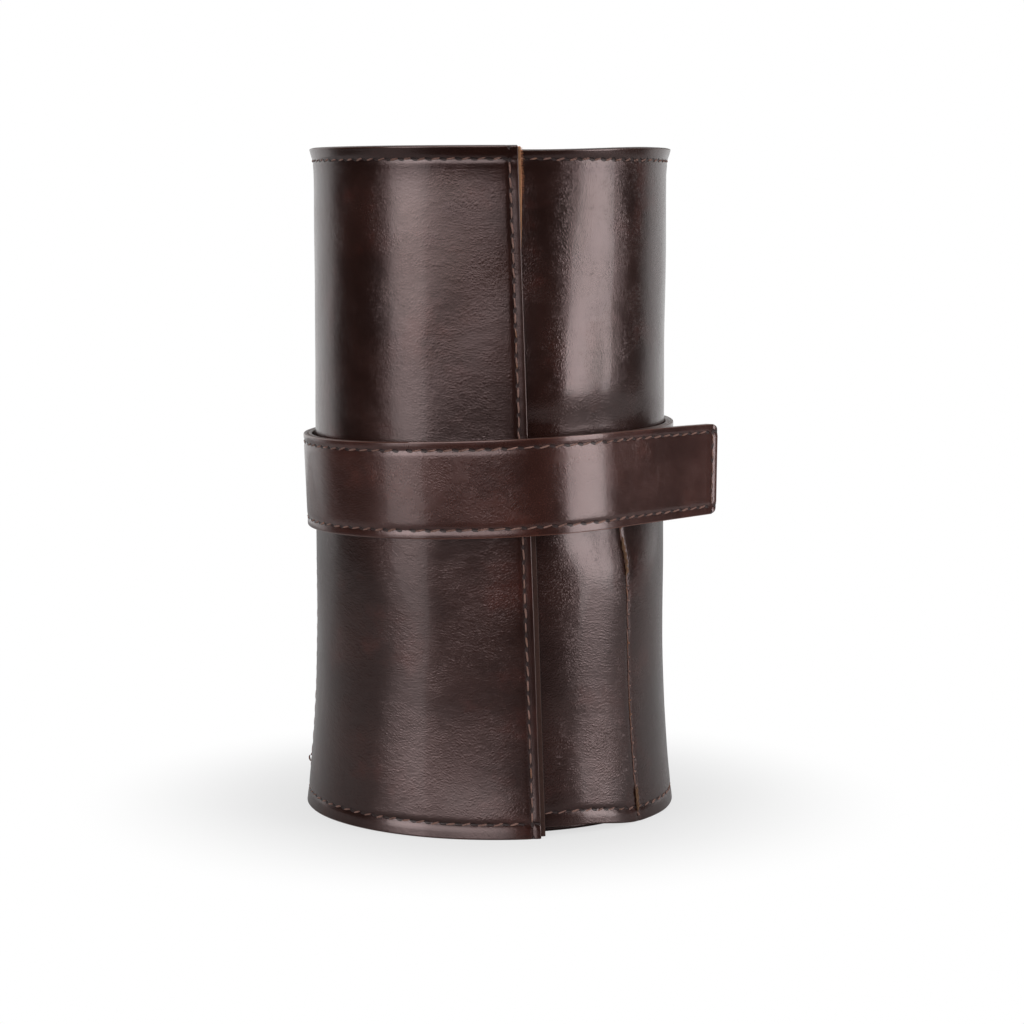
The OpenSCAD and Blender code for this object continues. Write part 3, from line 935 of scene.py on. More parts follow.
def on_strap_at(turn, across, depth):
    """The point of the strap at an angle; past TAIL_TURN it counts millimetres of the straight tail."""
    path, value = strap_path(turn)
    return on_strap(value, across, depth, path)


def strap_along(turn):
    if turn > TAIL_TURN:
        return math.radians(TAIL_TURN - BACK_MIDDLE) * WAIST_RADIUS + turn - TAIL_TURN
    return along_of(turn)


def strap_turn(along):
    straight = along - math.radians(TAIL_TURN - BACK_MIDDLE) * WAIST_RADIUS
    return TAIL_TURN + straight if straight > 0 else turn_at(along)


def strap_sheet(name, start, stops, depth, thickness, finishes, rounding=0.3, tail=False, flush=()):
    """A layer of strap from one angle through the stops, with the straight tail after it if asked."""
    middle = depth + thickness / 2
    moves, at = [], start
    for stop in stops:
        path, _ = strap_path((at + stop) / 2)
        centre = {"flap": FLAP_CENTRE, "back": PLAIN_CENTRE, "anchor": TUCK_CENTRE}[path]
        moves.append(("round", centre, stop - at, max(4, int(abs(stop - at) / 1.15))))
        at = stop
    path, _ = strap_path((start + stops[0]) / 2)
    growth = {"flap": FLAP_GROWTH, "back": 0.0, "anchor": -TUCK_SHRINK}[path]
    ahead = spot(TAIL_LEAVE + 90, 1.0)
    if tail:
        moves.append(("along", ahead * (TAIL_LENGTH - TAIL_CORNER), 30))
        moves.append(("along", ahead * TAIL_CORNER, 8))
    line = [(WAIST_RADIUS + growth + STRAP_SLACK + middle, s) for s in strap_rows()]
    obj = sheet_from_line(name, line, start, moves)
    leave = FLAP_CENTRE + spot(TAIL_LEAVE, WAIST_RADIUS + FLAP_GROWTH + STRAP_SLACK + middle)
    side = "flap" if stops[-1] > start else "tuck"

    def find(point):
        turn, across = turn_of(point, side), point.z
        if tail:
            straight = (Vector((point.x, point.y)) - leave).dot(ahead)
            if straight > 0.01 and point.x > 0:
                rounded = straight - (TAIL_LENGTH - TAIL_CORNER)
                if rounded > 0:
                    rise = math.sin(min(1.0, rounded / TAIL_CORNER) * math.pi / 2)
                    straight = TAIL_LENGTH - TAIL_CORNER + TAIL_CORNER * rise
                    half = STRAP_WIDTH / 2 - TAIL_CORNER + TAIL_CORNER * math.sqrt(max(0.0, 1 - rise * rise))
                    across *= half / (STRAP_WIDTH / 2)
                turn = TAIL_TURN + straight
        return turn, across + STRAP_WIDTH / 2, strap_along(turn)

    def inset(turn, row):
        return TAIL_TURN + TAIL_LENGTH - turn if turn > TAIL_TURN else 60.0 + TAIL_TURN - turn

    def place(turn, row):
        pull = max(STRAP_DENT * dent(row - s) for s in STRAP_LINES)
        if turn > TAIL_TURN:
            pull = max(pull, STRAP_DENT * dent(inset(turn, row) - TAIL_LINE))
        return on_strap_at(turn, row - STRAP_WIDTH / 2, middle - pull + 0.12 * ripple(turn, row + 200))

    settle(obj, find, place, inset)
    face_outwards(obj, from_axis)
    planes = []
    for turn in flush:
        a, b, c = (on_strap_at(turn, s, d) for s, d in ((-10, 0), (10, 0), (0, 3)))
        planes.append((a, (b - a).cross(c - a).normalized()))
    thicken(obj, thickness, rounding, finishes, lambda p: any(
        abs((p - a).dot(n)) < 0.04 and p.xy.dot(a.xy) > 0 for a, n in planes))
    return obj


# ---------------------------------------------------------------------------
# Stitching
# ---------------------------------------------------------------------------


def one_stitch():
    """A stitch of twisted thread, 1 mm long and thick, that dips into its holes."""
    deselect_all()
    bpy.ops.mesh.primitive_uv_sphere_add(segments=8, ring_count=7, radius=0.5 * MM, calc_uvs=True)
    stitch = bpy.context.object
    with editing():
        bpy.ops.transform.rotate(value=math.pi / 2, orient_axis="Y", center_override=(0, 0, 0))
    for vertex in stitch.data.vertices:
        end = abs(vertex.co.x / MM) * 2
        swell = 1.0 + 0.25 * math.sin(end * math.pi) if end < 1 else 1.0
        vertex.co.y *= swell
        vertex.co.z = vertex.co.z * swell - 0.5 * MM * end**3
    stitch.data.uv_layers[0].name = "flat"
    bpy.ops.object.shade_smooth()
    return stitch


def one_fibre():
    """A stray fibre 1 mm long that tapers and curls."""
    deselect_all()
    bpy.ops.mesh.primitive_cylinder_add(vertices=3, radius=0.5 * MM, depth=1.0 * MM, calc_uvs=True)
    fibre = bpy.context.object
    with editing():
        bpy.ops.transform.rotate(value=math.pi / 2, orient_axis="Y", center_override=(0, 0, 0))
        for cut in (-0.3, -0.1, 0.1, 0.3):
            bpy.ops.mesh.select_all(action="SELECT")
            bpy.ops.mesh.bisect(plane_co=(cut * MM, 0, 0), plane_no=(1, 0, 0))
    for vertex in fibre.data.vertices:
        along = vertex.co.x / MM + 0.5
        vertex.co.y = vertex.co.y * (1.1 - along) + 0.16 * MM * math.sin(along * 3.4)
        vertex.co.z *= 1.1 - along
    fibre.data.uv_layers[0].name = "flat"
    bpy.ops.object.shade_smooth()
    return fibre


def sew(name, places, finish, width=0.4, height=0.42, model=None):
    """Copies of one stitch joined in a piece. places are (point, along, out) with along as long as
    the stitch, and a fourth value where a stitch is thicker or thinner than the rest."""
    model = model or one_stitch()
    copies = []
    for point, along, out, *times in places:
        times = times[0] if times else 1.0
        copy = model.copy()
        copy.data = model.data.copy()
        bpy.context.collection.objects.link(copy)
        x = along.normalized()
        z = (out - x * out.dot(x)).normalized()
        y = z.cross(x)
        turn = Matrix((x, y, z)).transposed().to_4x4()
        size = Matrix.Diagonal((along.length, width * times, height * times, 1.0))
        copy.data.transform(Matrix.Translation(point * MM) @ turn @ size)
        copies.append(copy)
    bpy.data.objects.remove(model)
    deselect_all()
    for copy in copies:
        copy.select_set(True)
    bpy.context.view_layer.objects.active = copies[0]
    bpy.ops.object.join()
    seam = added(name)
    seam.data.materials.clear()
    seam.data.materials.append(finish)
    return seam


def stitch_between(here, there, out, slant, rng, share=0.8, times=1.0):
    """The place of a stitch that runs between two holes."""
    along = there - here
    lean = out.cross(along).normalized()
    along = along + lean * along.length * (slant + rng.uniform(-0.09, 0.09))
    middle = (here + there) / 2 + lean * rng.uniform(-0.08, 0.08)
    return middle, along * (share * rng.uniform(0.9, 1.08)), out, times * rng.uniform(0.8, 1.15)


def wrap_seam_places(side, rng):
    """Every stitch on one half of the wrap."""
    ahead = 1 if side == "flap" else -1
    places = []

    def point(turn, row, lift=0.1):
        z = tuck_height(row, turn) if side == "tuck" else row
        return on_wrap(turn, z, -lift - wrap_skin(turn, z) + seam_dents(side, turn, row))

    for z, slant in ((FOOT_LINE[side], 0.28), (MOUTH_LINE, 0.24)):
        count = 0
        while True:
            a, b = turn_at(ahead * count * PITCH), turn_at(ahead * (count + 1) * PITCH)
            count += 1
            if side == "flap" and edge_inset(b, z) < EDGE_LINE:
                break
            if side == "tuck" and b < TUCK_END + 2:
                break
            here, there = sorted((a, b))
            places.append(stitch_between(
                point(here, z), point(there, z), from_axis(point((a + b) / 2, z)), slant, rng, 0.66))
    if side == "flap":
        for count in range(int(FOOT_LINE["flap"] // PITCH), int(MOUTH_LINE / PITCH)):
            low, high = count * PITCH, (count + 1) * PITCH
            if low < FOOT_LINE["flap"] - 1 or high > MOUTH_LINE:
                continue
            turns = [
                edge_turn(z) - math.degrees(EDGE_LINE / (outer_radius(z) + FLAP_GROWTH)) for z in (low, high)]
            out = from_axis(point(turns[0], low))
            places.append(stitch_between(point(turns[0], low), point(turns[1], high), out, 0.05, rng))
    for count in range(1, int(POCKET_HEIGHT / PITCH)):
        low, high = (point(pocket_seam(side, z), z, 0.16) for z in (count * PITCH, (count + 1) * PITCH))
        places.append(stitch_between(low, high, from_axis(low), 0.03, rng, 1.04, 0.72))
        if side == "tuck":
            knot = Vector((rng.uniform(-0.25, 0.1), rng.uniform(-0.2, 0.2), rng.uniform(0.5, 0.9)))
            places.append((low - from_axis(low).cross(Vector((0, 0, 1))) * 0.32, knot, from_axis(low), 1.5))
    return places


def strap_seam_places(first, last, rng, end_row=False):
    """The stitches along both edges of the strap between two angles, and across the tail's end."""
    places = []
    depth = STRAP_BACKING + STRAP_LEATHER + 0.1 - STRAP_DENT
    step = 1 if last > first else -1
    count = math.ceil(strap_along(first) / PITCH * step - 0.001)
    limit = strap_along(last)

    def out_at(turn):
        inner, outer = on_strap_at(turn, 0, 0), on_strap_at(turn, 0, 1)
        return (outer - inner).normalized()

    while True:
        a, b = count * step * PITCH, (count + 1) * step * PITCH
        count += 1
        if (b - limit) * step > 0.01:
            break
        here, there = sorted((strap_turn(a), strap_turn(b)))
        for row in STRAP_LINES:
            across = row - STRAP_WIDTH / 2
            places.append(stitch_between(
                on_strap_at(here, across, depth), on_strap_at(there, across, depth),
                out_at((here + there) / 2), 0.2, rng, 0.78))
    if end_row:
        turn = TAIL_TURN + TAIL_LENGTH - TAIL_LINE
        rows = np.linspace(*(row - STRAP_WIDTH / 2 for row in STRAP_LINES), 6).tolist()
        for low, high in zip(rows, rows[1:]):
            places.append(stitch_between(
                on_strap_at(turn, low, depth), on_strap_at(turn, high, depth), out_at(turn), 0.05, rng))
    return places


# ---------------------------------------------------------------------------
# Discs and pillows
# ---------------------------------------------------------------------------


def round_sheet(name, radius, thickness, foot, finish, dish=0.0, rim=0.2):
    """A round of leather or suede with soft rims, its upper face dented near its rim by dish."""
    deselect_all()
    bpy.ops.mesh.primitive_circle_add(
        vertices=120, radius=radius * MM, fill_type="NGON",
        location=(DISC_CENTRE[0] * MM, DISC_CENTRE[1] * MM, foot * MM))
    obj = added(name)
    bpy.ops.object.transform_apply(location=True, rotation=True, scale=True)
    with editing():
        bpy.ops.mesh.extrude_region_move(TRANSFORM_OT_translate={"value": (0, 0, thickness * MM)})
        at = 0.0
        for ring in (0.5, 1.2, 1.9, DISC_LINE, 2.9, 3.6, 5.0, 8.0, 12.0, 17.0, 23.0, 29.0, 35.0):
            bpy.ops.mesh.inset(thickness=(ring - at) * MM, depth=0)
            at = ring
    centre = Vector(DISC_CENTRE)
    top = (foot + thickness) * MM
    for vertex in obj.data.vertices:
        if vertex.co.z > top - 0.00001:
            inset = radius - (vertex.co.xy / MM - centre).length
            vertex.co.z -= dish * dent(inset - DISC_LINE) * MM
    flat = obj.data.uv_layers.new(name="flat")
    inset_map = obj.data.uv_layers.new(name="inset")
    for loop in obj.data.loops:
        here = obj.data.vertices[loop.vertex_index].co
        flat.data[loop.index].uv = here.xy
        inset_map.data[loop.index].uv = (radius * MM - (here.xy - centre * MM).length, here.z)
    obj.data.materials.append(finish)
    with editing():
        bpy.ops.mesh.normals_make_consistent(inside=False)
    modify(obj, "soft rim", "BEVEL", width=rim * MM, segments=3, limit_method="ANGLE",
           angle_limit=math.radians(50))
    bpy.ops.object.shade_smooth_by_angle(angle=math.radians(50))
    return obj


def disc_seam_places(radius, top, rng):
    """The stitches along a disc's rim."""
    places = []
    count = int(2 * math.pi * (radius - DISC_LINE) / PITCH)
    for k in range(count):
        ends = []
        for angle in (360 * k / count, 360 * (k + 1) / count):
            plan = Vector(DISC_CENTRE) + spot(angle, radius - DISC_LINE)
            ends.append(Vector((plan.x, plan.y, top)))
        places.append(stitch_between(*ends, Vector((0, 0, 1)), 0.1, rng))
    return places


def pillow(name, foot, finish, puff):
    """A stuffed roll standing between two discs."""
    slack = 0.35
    radius, length = PILLOW_RADIUS - 0.9, PILLOW_LENGTH - 2 * slack
    deselect_all()
    bpy.ops.mesh.primitive_cylinder_add(
        vertices=64, radius=radius * MM, depth=length * MM,
        location=(0, PILLOW_BACK * MM, (foot + slack + length / 2) * MM))
    obj = added(name)
    bpy.ops.object.transform_apply(location=True, rotation=True, scale=True)
    modify(obj, "round over", "BEVEL", width=6 * MM, segments=4, limit_method="ANGLE")
    modify(obj, "even faces", "REMESH", mode="VOXEL", voxel_size=4.0 * MM)
    before = np.array([v.co for v in obj.data.vertices])
    if puff:
        cloth = obj.modifiers.new("stuffing", "CLOTH")
        cloth.settings.use_pressure = True
        cloth.settings.uniform_pressure_force = 4.0
        cloth.settings.effector_weights.gravity = 0.0
        cloth.settings.quality = 5
        scene = bpy.context.scene
        for step in range(1, 21):
            scene.frame_set(step)
        take_up(obj)
        bpy.ops.object.modifier_apply(modifier=cloth.name)
        scene.frame_set(1)
    low, high = (foot + 0.1) * MM, (foot + PILLOW_LENGTH - 0.1) * MM
    for vertex, start in zip(obj.data.vertices, before):
        start = Vector(start)
        move = vertex.co - start
        if move.length > 1.4 * MM:
            move *= 1.4 * MM / move.length
        here = start + move
        around = math.atan2(here.x, here.y - PILLOW_BACK * MM)
        crease = noise.noise(Vector((math.sin(around) * 2.2, math.cos(around) * 2.2, here.z * 60)))
        out = Vector((here.x, here.y - PILLOW_BACK * MM))
        from_middle = (here.z / MM - foot - PILLOW_LENGTH / 2) / PILLOW_LENGTH
        plump = 0.35 * crease + 0.55 * math.cos(from_middle * math.pi)
        out *= 1 + plump * MM / max(out.length, 0.005)
        vertex.co = (out.x, out.y + PILLOW_BACK * MM, min(high, max(low, here.z)))
    obj.data.materials.append(finish)
    modify(obj, "smooth", "SUBSURF", levels=1, render_levels=1)
    bpy.ops.object.shade_smooth()
    return obj


def piping(name, radius, height, thickness, finish):
    """The sewn cord that runs round a pillow's end."""
    deselect_all()
    bpy.ops.mesh.primitive_torus_add(
        major_segments=96, minor_segments=8, major_radius=radius * MM, minor_radius=thickness * MM,
        location=(0, PILLOW_BACK * MM, height * MM))
    obj = added(name)
    bpy.ops.object.transform_apply(location=True, rotation=True, scale=True)
    for vertex in obj.data.vertices:
        around = math.atan2(vertex.co.x, vertex.co.y - PILLOW_BACK * MM)
        out = Vector((vertex.co.x, vertex.co.y - PILLOW_BACK * MM))
        out *= 1 + 0.006 * math.sin(around * 48)
        vertex.co.x, vertex.co.y = out.x, out.y + PILLOW_BACK * MM
    obj.data.materials.append(finish)
    bpy.ops.object.shade_smooth()
    return obj


# ---------------------------------------------------------------------------
# What a user changes
# ---------------------------------------------------------------------------


class WatchRollLight(bpy.types.PropertyGroup):
    """The stage's lights and floor."""

    left_power: bpy.props.FloatProperty(
        name="Left light", description="Power of the soft light on the left",
        default=2.7, min=0.0, unit="POWER")
    right_power: bpy.props.FloatProperty(
        name="Right light", description="Power of the soft light on the right",
        default=8.5, min=0.0, unit="POWER")
    top_power: bpy.props.FloatProperty(
        name="Top light", description="Power of the soft light overhead",
        default=9.0, min=0.0, unit="POWER")
    front_glow: bpy.props.FloatProperty(
        name="Front glow", description="Strength of the pale room in front, on the left",
        default=4.0, min=0.0)
    floor_colour: bpy.props.FloatVectorProperty(
        name="Floor", description="Colour of the floor", default=(0.42, 0.42, 0.42), size=3, subtype="COLOR",
        min=0.0, max=1.0)


class WatchRollSewing(bpy.types.PropertyGroup):
    """The stitching."""

    thread_width: bpy.props.FloatProperty(
        name="Thread width", description="Width of the thread", default=0.00042, min=0.0003, max=0.0015,
        unit="LENGTH", precision=5)
    cut_rounding: bpy.props.FloatProperty(
        name="Edge rounding", description="Rounding of the leather's cut edges", default=0.00034, min=0.0001,
        max=0.0006, unit="LENGTH", precision=5)


# ---------------------------------------------------------------------------
# One operator for each kind of piece
# ---------------------------------------------------------------------------


class WATCHROLL_OT_wrap_leather(bpy.types.Operator):
    """Makes the outer leather of the wrap in its two halves"""

    bl_idname = "watch_roll.wrap_leather"
    bl_label = "Wrap leather"

    def execute(self, context):
        f = make_finishes()
        rounding = context.scene.watch_roll_sewing.cut_rounding / MM
        for side, low, high in (
            ("flap", 0.0, CASE_HEIGHT),
            ("tuck", TUCK_FOOT_STEP, CASE_HEIGHT - TUCK_MOUTH_STEP),
        ):
            obj = wrap_sheet(f"{side}_side_leather", side, 0.0, LEATHER, low, high,
                             (f[f"{side} leather"], f["burnished edge"]), rounding, back_depth=0.0)
            bend_wrap(obj, side)
            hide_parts(f"{side}_leather", "back_leather")
        return {"FINISHED"}


class WATCHROLL_OT_wrap_lining(bpy.types.Operator):
    """Makes the suede lining that shows its raw edge along the flap"""

    bl_idname = "watch_roll.wrap_lining"
    bl_label = "Wrap lining"

    def execute(self, context):
        f = make_finishes()
        for side, low, high, reveal in (
            ("flap", 0.25, CASE_HEIGHT - 0.25, (-0.1, 0.9)),
            ("tuck", TUCK_FOOT_STEP + 0.2, CASE_HEIGHT - TUCK_MOUTH_STEP - 0.2, 0.0),
        ):
            obj = wrap_sheet(f"{side}_side_lining", side, LEATHER + 0.02, LINING - 0.04, low, high,
                             (f["lining suede"], f["raw edge"]), 0.18, reveal, back_depth=LEATHER + BOARD)
            bend_wrap(obj, side)
            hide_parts(f"{side}_lining", "back_lining")
        board = back_board(f["board"])
        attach(board, "case_back")
        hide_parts("back_board")
        return {"FINISHED"}


class WATCHROLL_OT_wrap_pockets(bpy.types.Operator):
    """Makes the leather pockets inside the flaps' lower halves"""

    bl_idname = "watch_roll.wrap_pockets"
    bl_label = "Inner pockets"

    def execute(self, context):
        f = make_finishes()
        for side, low, reveal in (("flap", 0.15, 1.7), ("tuck", TUCK_FOOT_STEP + 0.1, 0.0)):
            obj = wrap_sheet(f"{side}_side_pocket", side, LEATHER + LINING + 0.02, POCKET - 0.04, low,
                             POCKET_HEIGHT, (f["pocket leather"], f["burnished edge"]), 0.22, reveal)
            bend_wrap(obj, side)
            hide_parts(f"{side}_pocket")
        return {"FINISHED"}


class WATCHROLL_OT_wrap_thread(bpy.types.Operator):
    """Sews the wrap along its rims, its edge and its pockets"""

    bl_idname = "watch_roll.wrap_thread"
    bl_label = "Wrap stitching"

    def execute(self, context):
        f = make_finishes()
        width = context.scene.watch_roll_sewing.thread_width / MM
        for side in ("flap", "tuck"):
            seam = sew(f"{side}_side_thread", wrap_seam_places(side, random.Random(side)), f["thread"], width)
            bend_wrap(seam, side)
        return {"FINISHED"}


class WATCHROLL_OT_frayed_ends(bpy.types.Operator):
    """Adds the fibres along the raw lining, the doubled ends of the pocket seam and a loose thread"""

    bl_idname = "watch_roll.frayed_ends"
    bl_label = "Frayed edges and thread ends"

    def execute(self, context):
        f = make_finishes()
        rng = random.Random("fray")
        depth = LEATHER + LINING / 2
        places = []
        for _ in range(90):
            z = CASE_HEIGHT - 0.6 - 13 * rng.random() ** 1.3
            turn = edge_turn(z, (0.35, 1.0))
            root = on_wrap(turn, z, depth + rng.uniform(-0.35, 0.35) - ripple(turn, z))
            ahead = spot(turn + 90, 1.0).to_3d() + Vector((0, 0, rng.uniform(-0.9, 0.9)))
            ahead += from_axis(root) * rng.uniform(-0.3, 0.5)
            ahead = ahead.normalized() * rng.uniform(0.35, 1.0)
            places.append((root + ahead * 0.4, ahead, from_axis(root) + Vector((0, 0, rng.uniform(-1, 1)))))
        fray = sew("flap_side_fray", places, f["fibre"], 0.07, 0.07, one_fibre())
        bend_wrap(fray, "flap")
        for side, low, high in (("flap", 255.0, 318.0), ("tuck", 40.0, 105.0)):
            places = []
            for _ in range(46):
                turn = rng.uniform(low, high)
                z = CASE_HEIGHT - 0.4
                root = on_wrap(turn, z, depth + 0.3 + rng.uniform(-0.3, 0.3))
                rise = Vector((rng.uniform(-0.5, 0.5), rng.uniform(-0.5, 0.5), 1.0)).normalized()
                rise = rise * rng.uniform(0.3, 0.7)
                places.append((root + rise * 0.4, rise, from_axis(root)))
            rim = sew(f"{side}_rim_fray", places, f["fibre"], 0.07, 0.07, one_fibre())
            bend_wrap(rim, side)
        tacks = []
        for low, high in ((66.5, 77.5), (3.2, 9.0)):
            for k in range(int((high - low) / 1.9)):
                for offset in (-0.35, 0.0, 0.4):
                    a, b = (
                        on_wrap(pocket_seam("tuck", z) + offset, z,
                                -0.25 - wrap_skin(50, z) + seam_dents("tuck", 50, z))
                        for z in (low + k * 1.9 + offset, low + (k + 1) * 1.9 + offset))
                    tacks.append(stitch_between(a, b, from_axis(a), rng.uniform(-0.3, 0.3), rng, 1.1))
        tack = sew("tuck_side_backtack", tacks, f["tan thread"], 0.42, 0.5)
        bend_wrap(tack, "tuck")
        root = on_wrap(pocket_seam("flap", 12.0), 12.0, -0.2)
        ends = [(root, Vector((-1.6, -0.5, -1.4)), from_axis(root)),
                (root + Vector((-0.9, -0.4, -1.5)), Vector((0.4, -0.6, -1.7)), from_axis(root))]
        loose = sew("flap_side_loose_end", ends, f["thread"], 0.5)
        bend_wrap(loose, "flap")
        return {"FINISHED"}


class WATCHROLL_OT_strap(bpy.types.Operator):
    """Makes the strap round the roll, leather over backing, with its stitching"""

    bl_idname = "watch_roll.strap"
    bl_label = "Strap"

    def execute(self, context):
        f = make_finishes()
        sewing = context.scene.watch_roll_sewing
        flap_fold = FLAP_FOLD + 360
        folds = {
            "strap_side": ("case_back", "wrap_flap", at_fold(FLAP_FOLD, -9), at_fold(FLAP_FOLD, 9)),
            "anchor": ("case_back", "tuck_flap", at_fold(TUCK_FOLD, 9), at_fold(TUCK_FOLD, -9)),
            "strap_arm": ("wrap_flap", "strap_arm", at_fold(ARM_FOLD, -8), at_fold(ARM_FOLD, 8)),
            "tail": ("strap_arm", "strap_tail", at_fold(TAIL_FOLD, -7), at_fold(TAIL_FOLD, 7)),
        }
        sections = {
            "strap_side": (BACK_MIDDLE, (flap_fold, SIDE_END), False, (BACK_MIDDLE, SIDE_END),
                           ("strap_side", "strap_back")),
            "anchor": (BACK_MIDDLE, (TUCK_FOLD, ANCHOR_END), False, (BACK_MIDDLE,), ("anchor", "strap_back")),
            "strap_arm": (SIDE_END, (ARM_END,), False, (SIDE_END, ARM_END), ("strap_arm",)),
            "tail": (ARM_END, (TAIL_TURN,), True, (ARM_END,), ("tail",)),
        }
        for name, (start, stops, tail, flush, nodes) in sections.items():
            for layer, depth, thickness, face in (
                ("leather", STRAP_BACKING, STRAP_LEATHER, "strap leather"),
                ("backing", 0.0, STRAP_BACKING, "strap backing"),
            ):
                obj = strap_sheet(f"{name}_band_{layer}", start, stops, depth, thickness,
                                  (f[face], f["strap edge"]), sewing.cut_rounding / MM, tail, flush)
                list(folds[name])
                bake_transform(obj)
                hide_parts(*(f"{node}_{layer}" for node in nodes))
            last = TAIL_TURN + TAIL_LENGTH - 2.0 if tail else stops[-1]
            seam = sew(f"{name}_band_thread", strap_seam_places(start, last, random.Random(name), tail),
                       f["thread"], sewing.thread_width / MM)
            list(folds[name])
            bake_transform(seam)
        for node, body, turn, depth in (
            ("tail_magnet", "strap_tail", 360 + MAGNET_TURN, MAGNET_THICKNESS - 0.38),
            ("anchor_magnet", "tuck_flap", MAGNET_TURN, STRAP_BACKING - 0.36),
        ):
            magnet = strap_magnet(f"{node}_disc", turn, depth, f["magnet"])
            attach(magnet, body)
            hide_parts(node)
        return {"FINISHED"}


class WATCHROLL_OT_discs(bpy.types.Operator):
    """Makes the end discs and the partitions between the watches"""

    bl_idname = "watch_roll.discs"
    bl_label = "Discs and partitions"

    def execute(self, context):
        f = make_finishes()
        suede, leather_face = f["disc suede"], f["disc leather"]
        under_mouth = MOUTH_DISC_TOP - DISC_LEATHER - DISC_BOARD - DISC_SUEDE
        made = [
            (round_sheet("mouth_disc_face", DISC_RADIUS, DISC_LEATHER, MOUTH_DISC_TOP - DISC_LEATHER,
                         leather_face, 0.3, 0.4), "mouth_disc_leather", "leather"),
            (round_sheet("foot_disc_face", FOOT_DISC_RADIUS, DISC_LEATHER, 0.0, leather_face, 0.0, 0.4),
             "foot_disc_leather", "leather"),
            (round_sheet("foot_disc_nap", FOOT_DISC_RADIUS - 0.5, DISC_SUEDE, DISC_LEATHER + DISC_BOARD,
                         suede), "foot_disc_suede", "suede"),
            (round_sheet("mouth_disc_nap", DISC_RADIUS - 0.5, DISC_SUEDE, under_mouth, suede),
             "mouth_disc_suede", "suede"),
        ]
        for which, foot in DIVIDER_FEET.items():
            for face, up in (("under", 0.0), ("upper", DISC_SUEDE + DISC_BOARD)):
                made.append((
                    round_sheet(f"{which}_divider_{face}_nap", DISC_RADIUS, DISC_SUEDE, foot + up, suede),
                    f"{which}_divider_suede", "suede"))
        for obj, node, slot in made:
            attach(obj, "case_back")
            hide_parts(node)
        places = disc_seam_places(DISC_RADIUS, MOUTH_DISC_TOP - 0.2, random.Random("mouth"))
        seam = sew("mouth_disc_thread", places, f["thread"], 0.5)
        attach(seam, "case_back")
        return {"FINISHED"}


class WATCHROLL_OT_pillows(bpy.types.Operator):
    """Stuffs the three watch pillows and pipes their ends"""

    bl_idname = "watch_roll.pillows"
    bl_label = "Watch pillows"

    def execute(self, context):
        f = make_finishes()
        for which, foot in PILLOW_FEET.items():
            obj = pillow(f"{which}_pillow_roll", foot, f["pillow suede"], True)
            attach(obj, f"{which}_pillow")
            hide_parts(*(f"{which}_pillow_{part}" for part in ("core", "cover", "caps")))
            for end, height in (("foot", foot + 4.6), ("head", foot + PILLOW_LENGTH - 4.6)):
                cord = piping(f"{which}_pillow_{end}_piping", PILLOW_RADIUS - 0.8, height, 0.75,
                              f["pillow suede"])
                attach(cord, f"{which}_pillow")
        return {"FINISHED"}


class WATCHROLL_OT_hidden_parts(bpy.types.Operator):
    """Gives the boards and the strap's patch their finishes"""

    bl_idname = "watch_roll.hidden_parts"
    bl_label = "Boards and patch"

    def execute(self, context):
        f = make_finishes()
        for name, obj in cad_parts.items():
            finish = "board" if name.endswith("board") else "strap backing" if name == "strap_patch" else None
            if finish and not obj.hide_render:
                obj.data.materials.clear()
                obj.data.materials.append(f[finish])
        return {"FINISHED"}


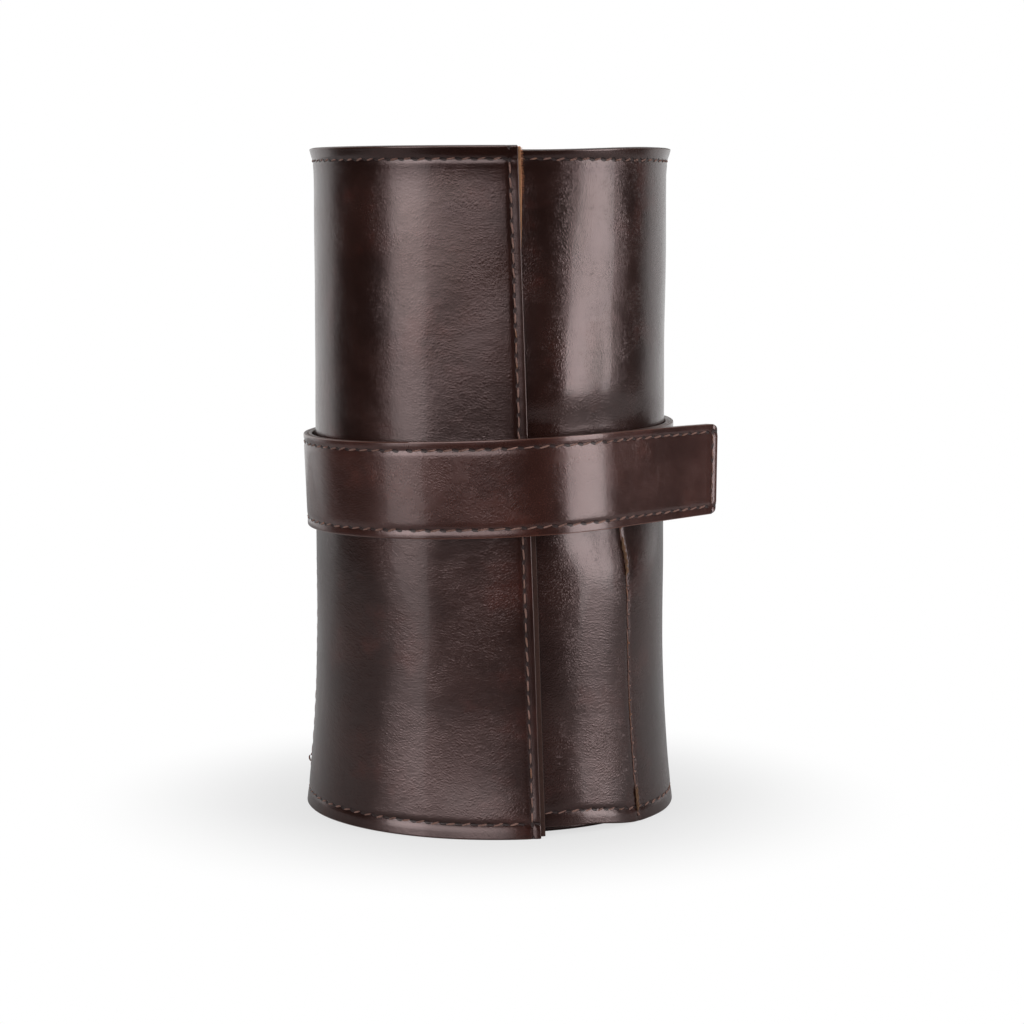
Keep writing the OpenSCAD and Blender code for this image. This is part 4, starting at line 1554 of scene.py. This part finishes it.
class WATCHROLL_OT_stage(bpy.types.Operator):
    """Sets up the floor, the lights, the pale surround and the camera"""

    bl_idname = "watch_roll.stage"
    bl_label = "Stage"

    def execute(self, context):
        light = context.scene.watch_roll_light
        deselect_all()
        bpy.ops.mesh.primitive_plane_add(size=1.0)
        floor = bpy.context.object
        floor.name = "floor"
        bpy.ops.object.mode_set(mode="EDIT")
        bpy.ops.transform.translate(value=(0, 0.27, 0))
        bpy.ops.mesh.subdivide(number_cuts=3)
        bpy.ops.object.mode_set(mode="OBJECT")
        f = Finish("floor_finish")
        place = f.place()
        x, y = f.spread(place)[:2]
        # The floor glows less for the camera near the roll, so a darker pool is painted round the foot, where
        # the lamps' real shadow also shows; farther out it glows plain white.
        far = (x * x + y * y).root().ramp(48.0, 118.0)
        seen = f.node("ShaderNodeLightPath", output="Is Camera Ray")
        grain = f.noise(place, 0.6, 3.0)
        matt = f.node("ShaderNodeBsdfPrincipled", {}, {
            "Base Color": f.blend(grain * 0.03, (*light.floor_colour, 1.0), (0.8, 0.8, 0.8, 1.0)),
            "Roughness": 0.7, "Specular IOR Level": 0.2, "Normal": f.bump(grain, 0.02, 0.4)})
        glow = f.node("ShaderNodeEmission", {}, {"Color": (1, 1, 1, 1), "Strength": 1.0})
        f.node_out(f.node("ShaderNodeMixShader", {}, {0: seen * (0.68 + 0.32 * far), 1: matt, 2: glow}))
        floor.data.materials.append(f.owner)

        world = bpy.data.worlds.new("surround")
        context.scene.world = world
        w = Finish("surround", world)
        way = w.node("ShaderNodeTexCoord", output="Generated")
        x, y, z = w.spread(way)
        azimuth = x.sum("ARCTAN2", x, -1 * y)
        behind = y.ramp(0.42, 0.68)
        front = azimuth.ramp(-1.28, -1.1) * azimuth.ramp(0.25, -0.02)
        front = front * z.ramp(-0.035, 0.04) * z.ramp(0.42, 0.34)
        seen = w.node("ShaderNodeLightPath", output="Is Camera Ray")
        strength = seen.at_least(0.03 + 0.92 * behind + light.front_glow * front)
        w.node_out(w.node("ShaderNodeBackground", {}, {"Color": (1, 1, 1, 1), "Strength": strength}))

        for name, azimuth, distance, height, width, tall, power in (
            ("left_light", -55.0, 0.95, 0.315, 0.42, 0.87, light.left_power),
            ("right_light", 70.0, 0.95, 0.315, 0.50, 0.87, light.right_power),
            ("top_light", 0.0, 0.0, 1.2, 0.8, 0.8, light.top_power),
        ):
            deselect_all()
            bpy.ops.object.light_add(type="AREA")
            lamp = bpy.context.object
            lamp.name = name
            lamp.data.shape, lamp.data.energy = "RECTANGLE", power
            lamp.data.size, lamp.data.size_y = width, tall
            plan = spot(azimuth, distance)
            lamp.location = (plan.x, plan.y, height)
            aim = Vector((0, 0, 0.09 if distance == 0 else height * 0.75)) - lamp.location
            lamp.rotation_euler = aim.to_track_quat("-Z", "Y").to_euler()

        deselect_all()
        bpy.ops.object.camera_add(location=(0.00604, -0.7497, 0.165), rotation=(math.radians(90 - 6.5), 0, 0))
        camera = bpy.context.object
        camera.name = "camera"
        camera.data.lens = 96.54
        camera.data.sensor_width = 36.0
        context.scene.camera = camera
        context.scene.view_settings.view_transform = "Standard"
        return {"FINISHED"}


class WATCHROLL_PT_panel(bpy.types.Panel):
    """Everything that makes up the dressed watch roll"""

    bl_label = "Watch Roll"
    bl_idname = "WATCHROLL_PT_panel"
    bl_space_type = "VIEW_3D"
    bl_region_type = "UI"
    bl_category = "Watch Roll"

    def draw(self, context):
        layout = self.layout
        for step in STEPS:
            layout.operator(step.bl_idname)
        for group in (context.scene.watch_roll_sewing, context.scene.watch_roll_light):
            for name in group.__annotations__:
                layout.prop(group, name)


STEPS = (
    WATCHROLL_OT_wrap_leather,
    WATCHROLL_OT_wrap_lining,
    WATCHROLL_OT_wrap_pockets,
    WATCHROLL_OT_wrap_thread,
    WATCHROLL_OT_frayed_ends,
    WATCHROLL_OT_strap,
    WATCHROLL_OT_discs,
    WATCHROLL_OT_pillows,
    WATCHROLL_OT_hidden_parts,
    WATCHROLL_OT_stage,
)
CLASSES = (WatchRollLight, WatchRollSewing, *STEPS, WATCHROLL_PT_panel)


def register():
    for kind in CLASSES:
        bpy.utils.register_class(kind)
    bpy.types.Scene.watch_roll_light = bpy.props.PointerProperty(type=WatchRollLight)
    bpy.types.Scene.watch_roll_sewing = bpy.props.PointerProperty(type=WatchRollSewing)


def unregister():
    del bpy.types.Scene.watch_roll_light
    del bpy.types.Scene.watch_roll_sewing
    for kind in reversed(CLASSES):
        bpy.utils.unregister_class(kind)


def main():
    register()
    for step in STEPS:
        family, name = step.bl_idname.split(".")
        getattr(getattr(bpy.ops, family), name)()


if __name__ == "__main__":
    main()
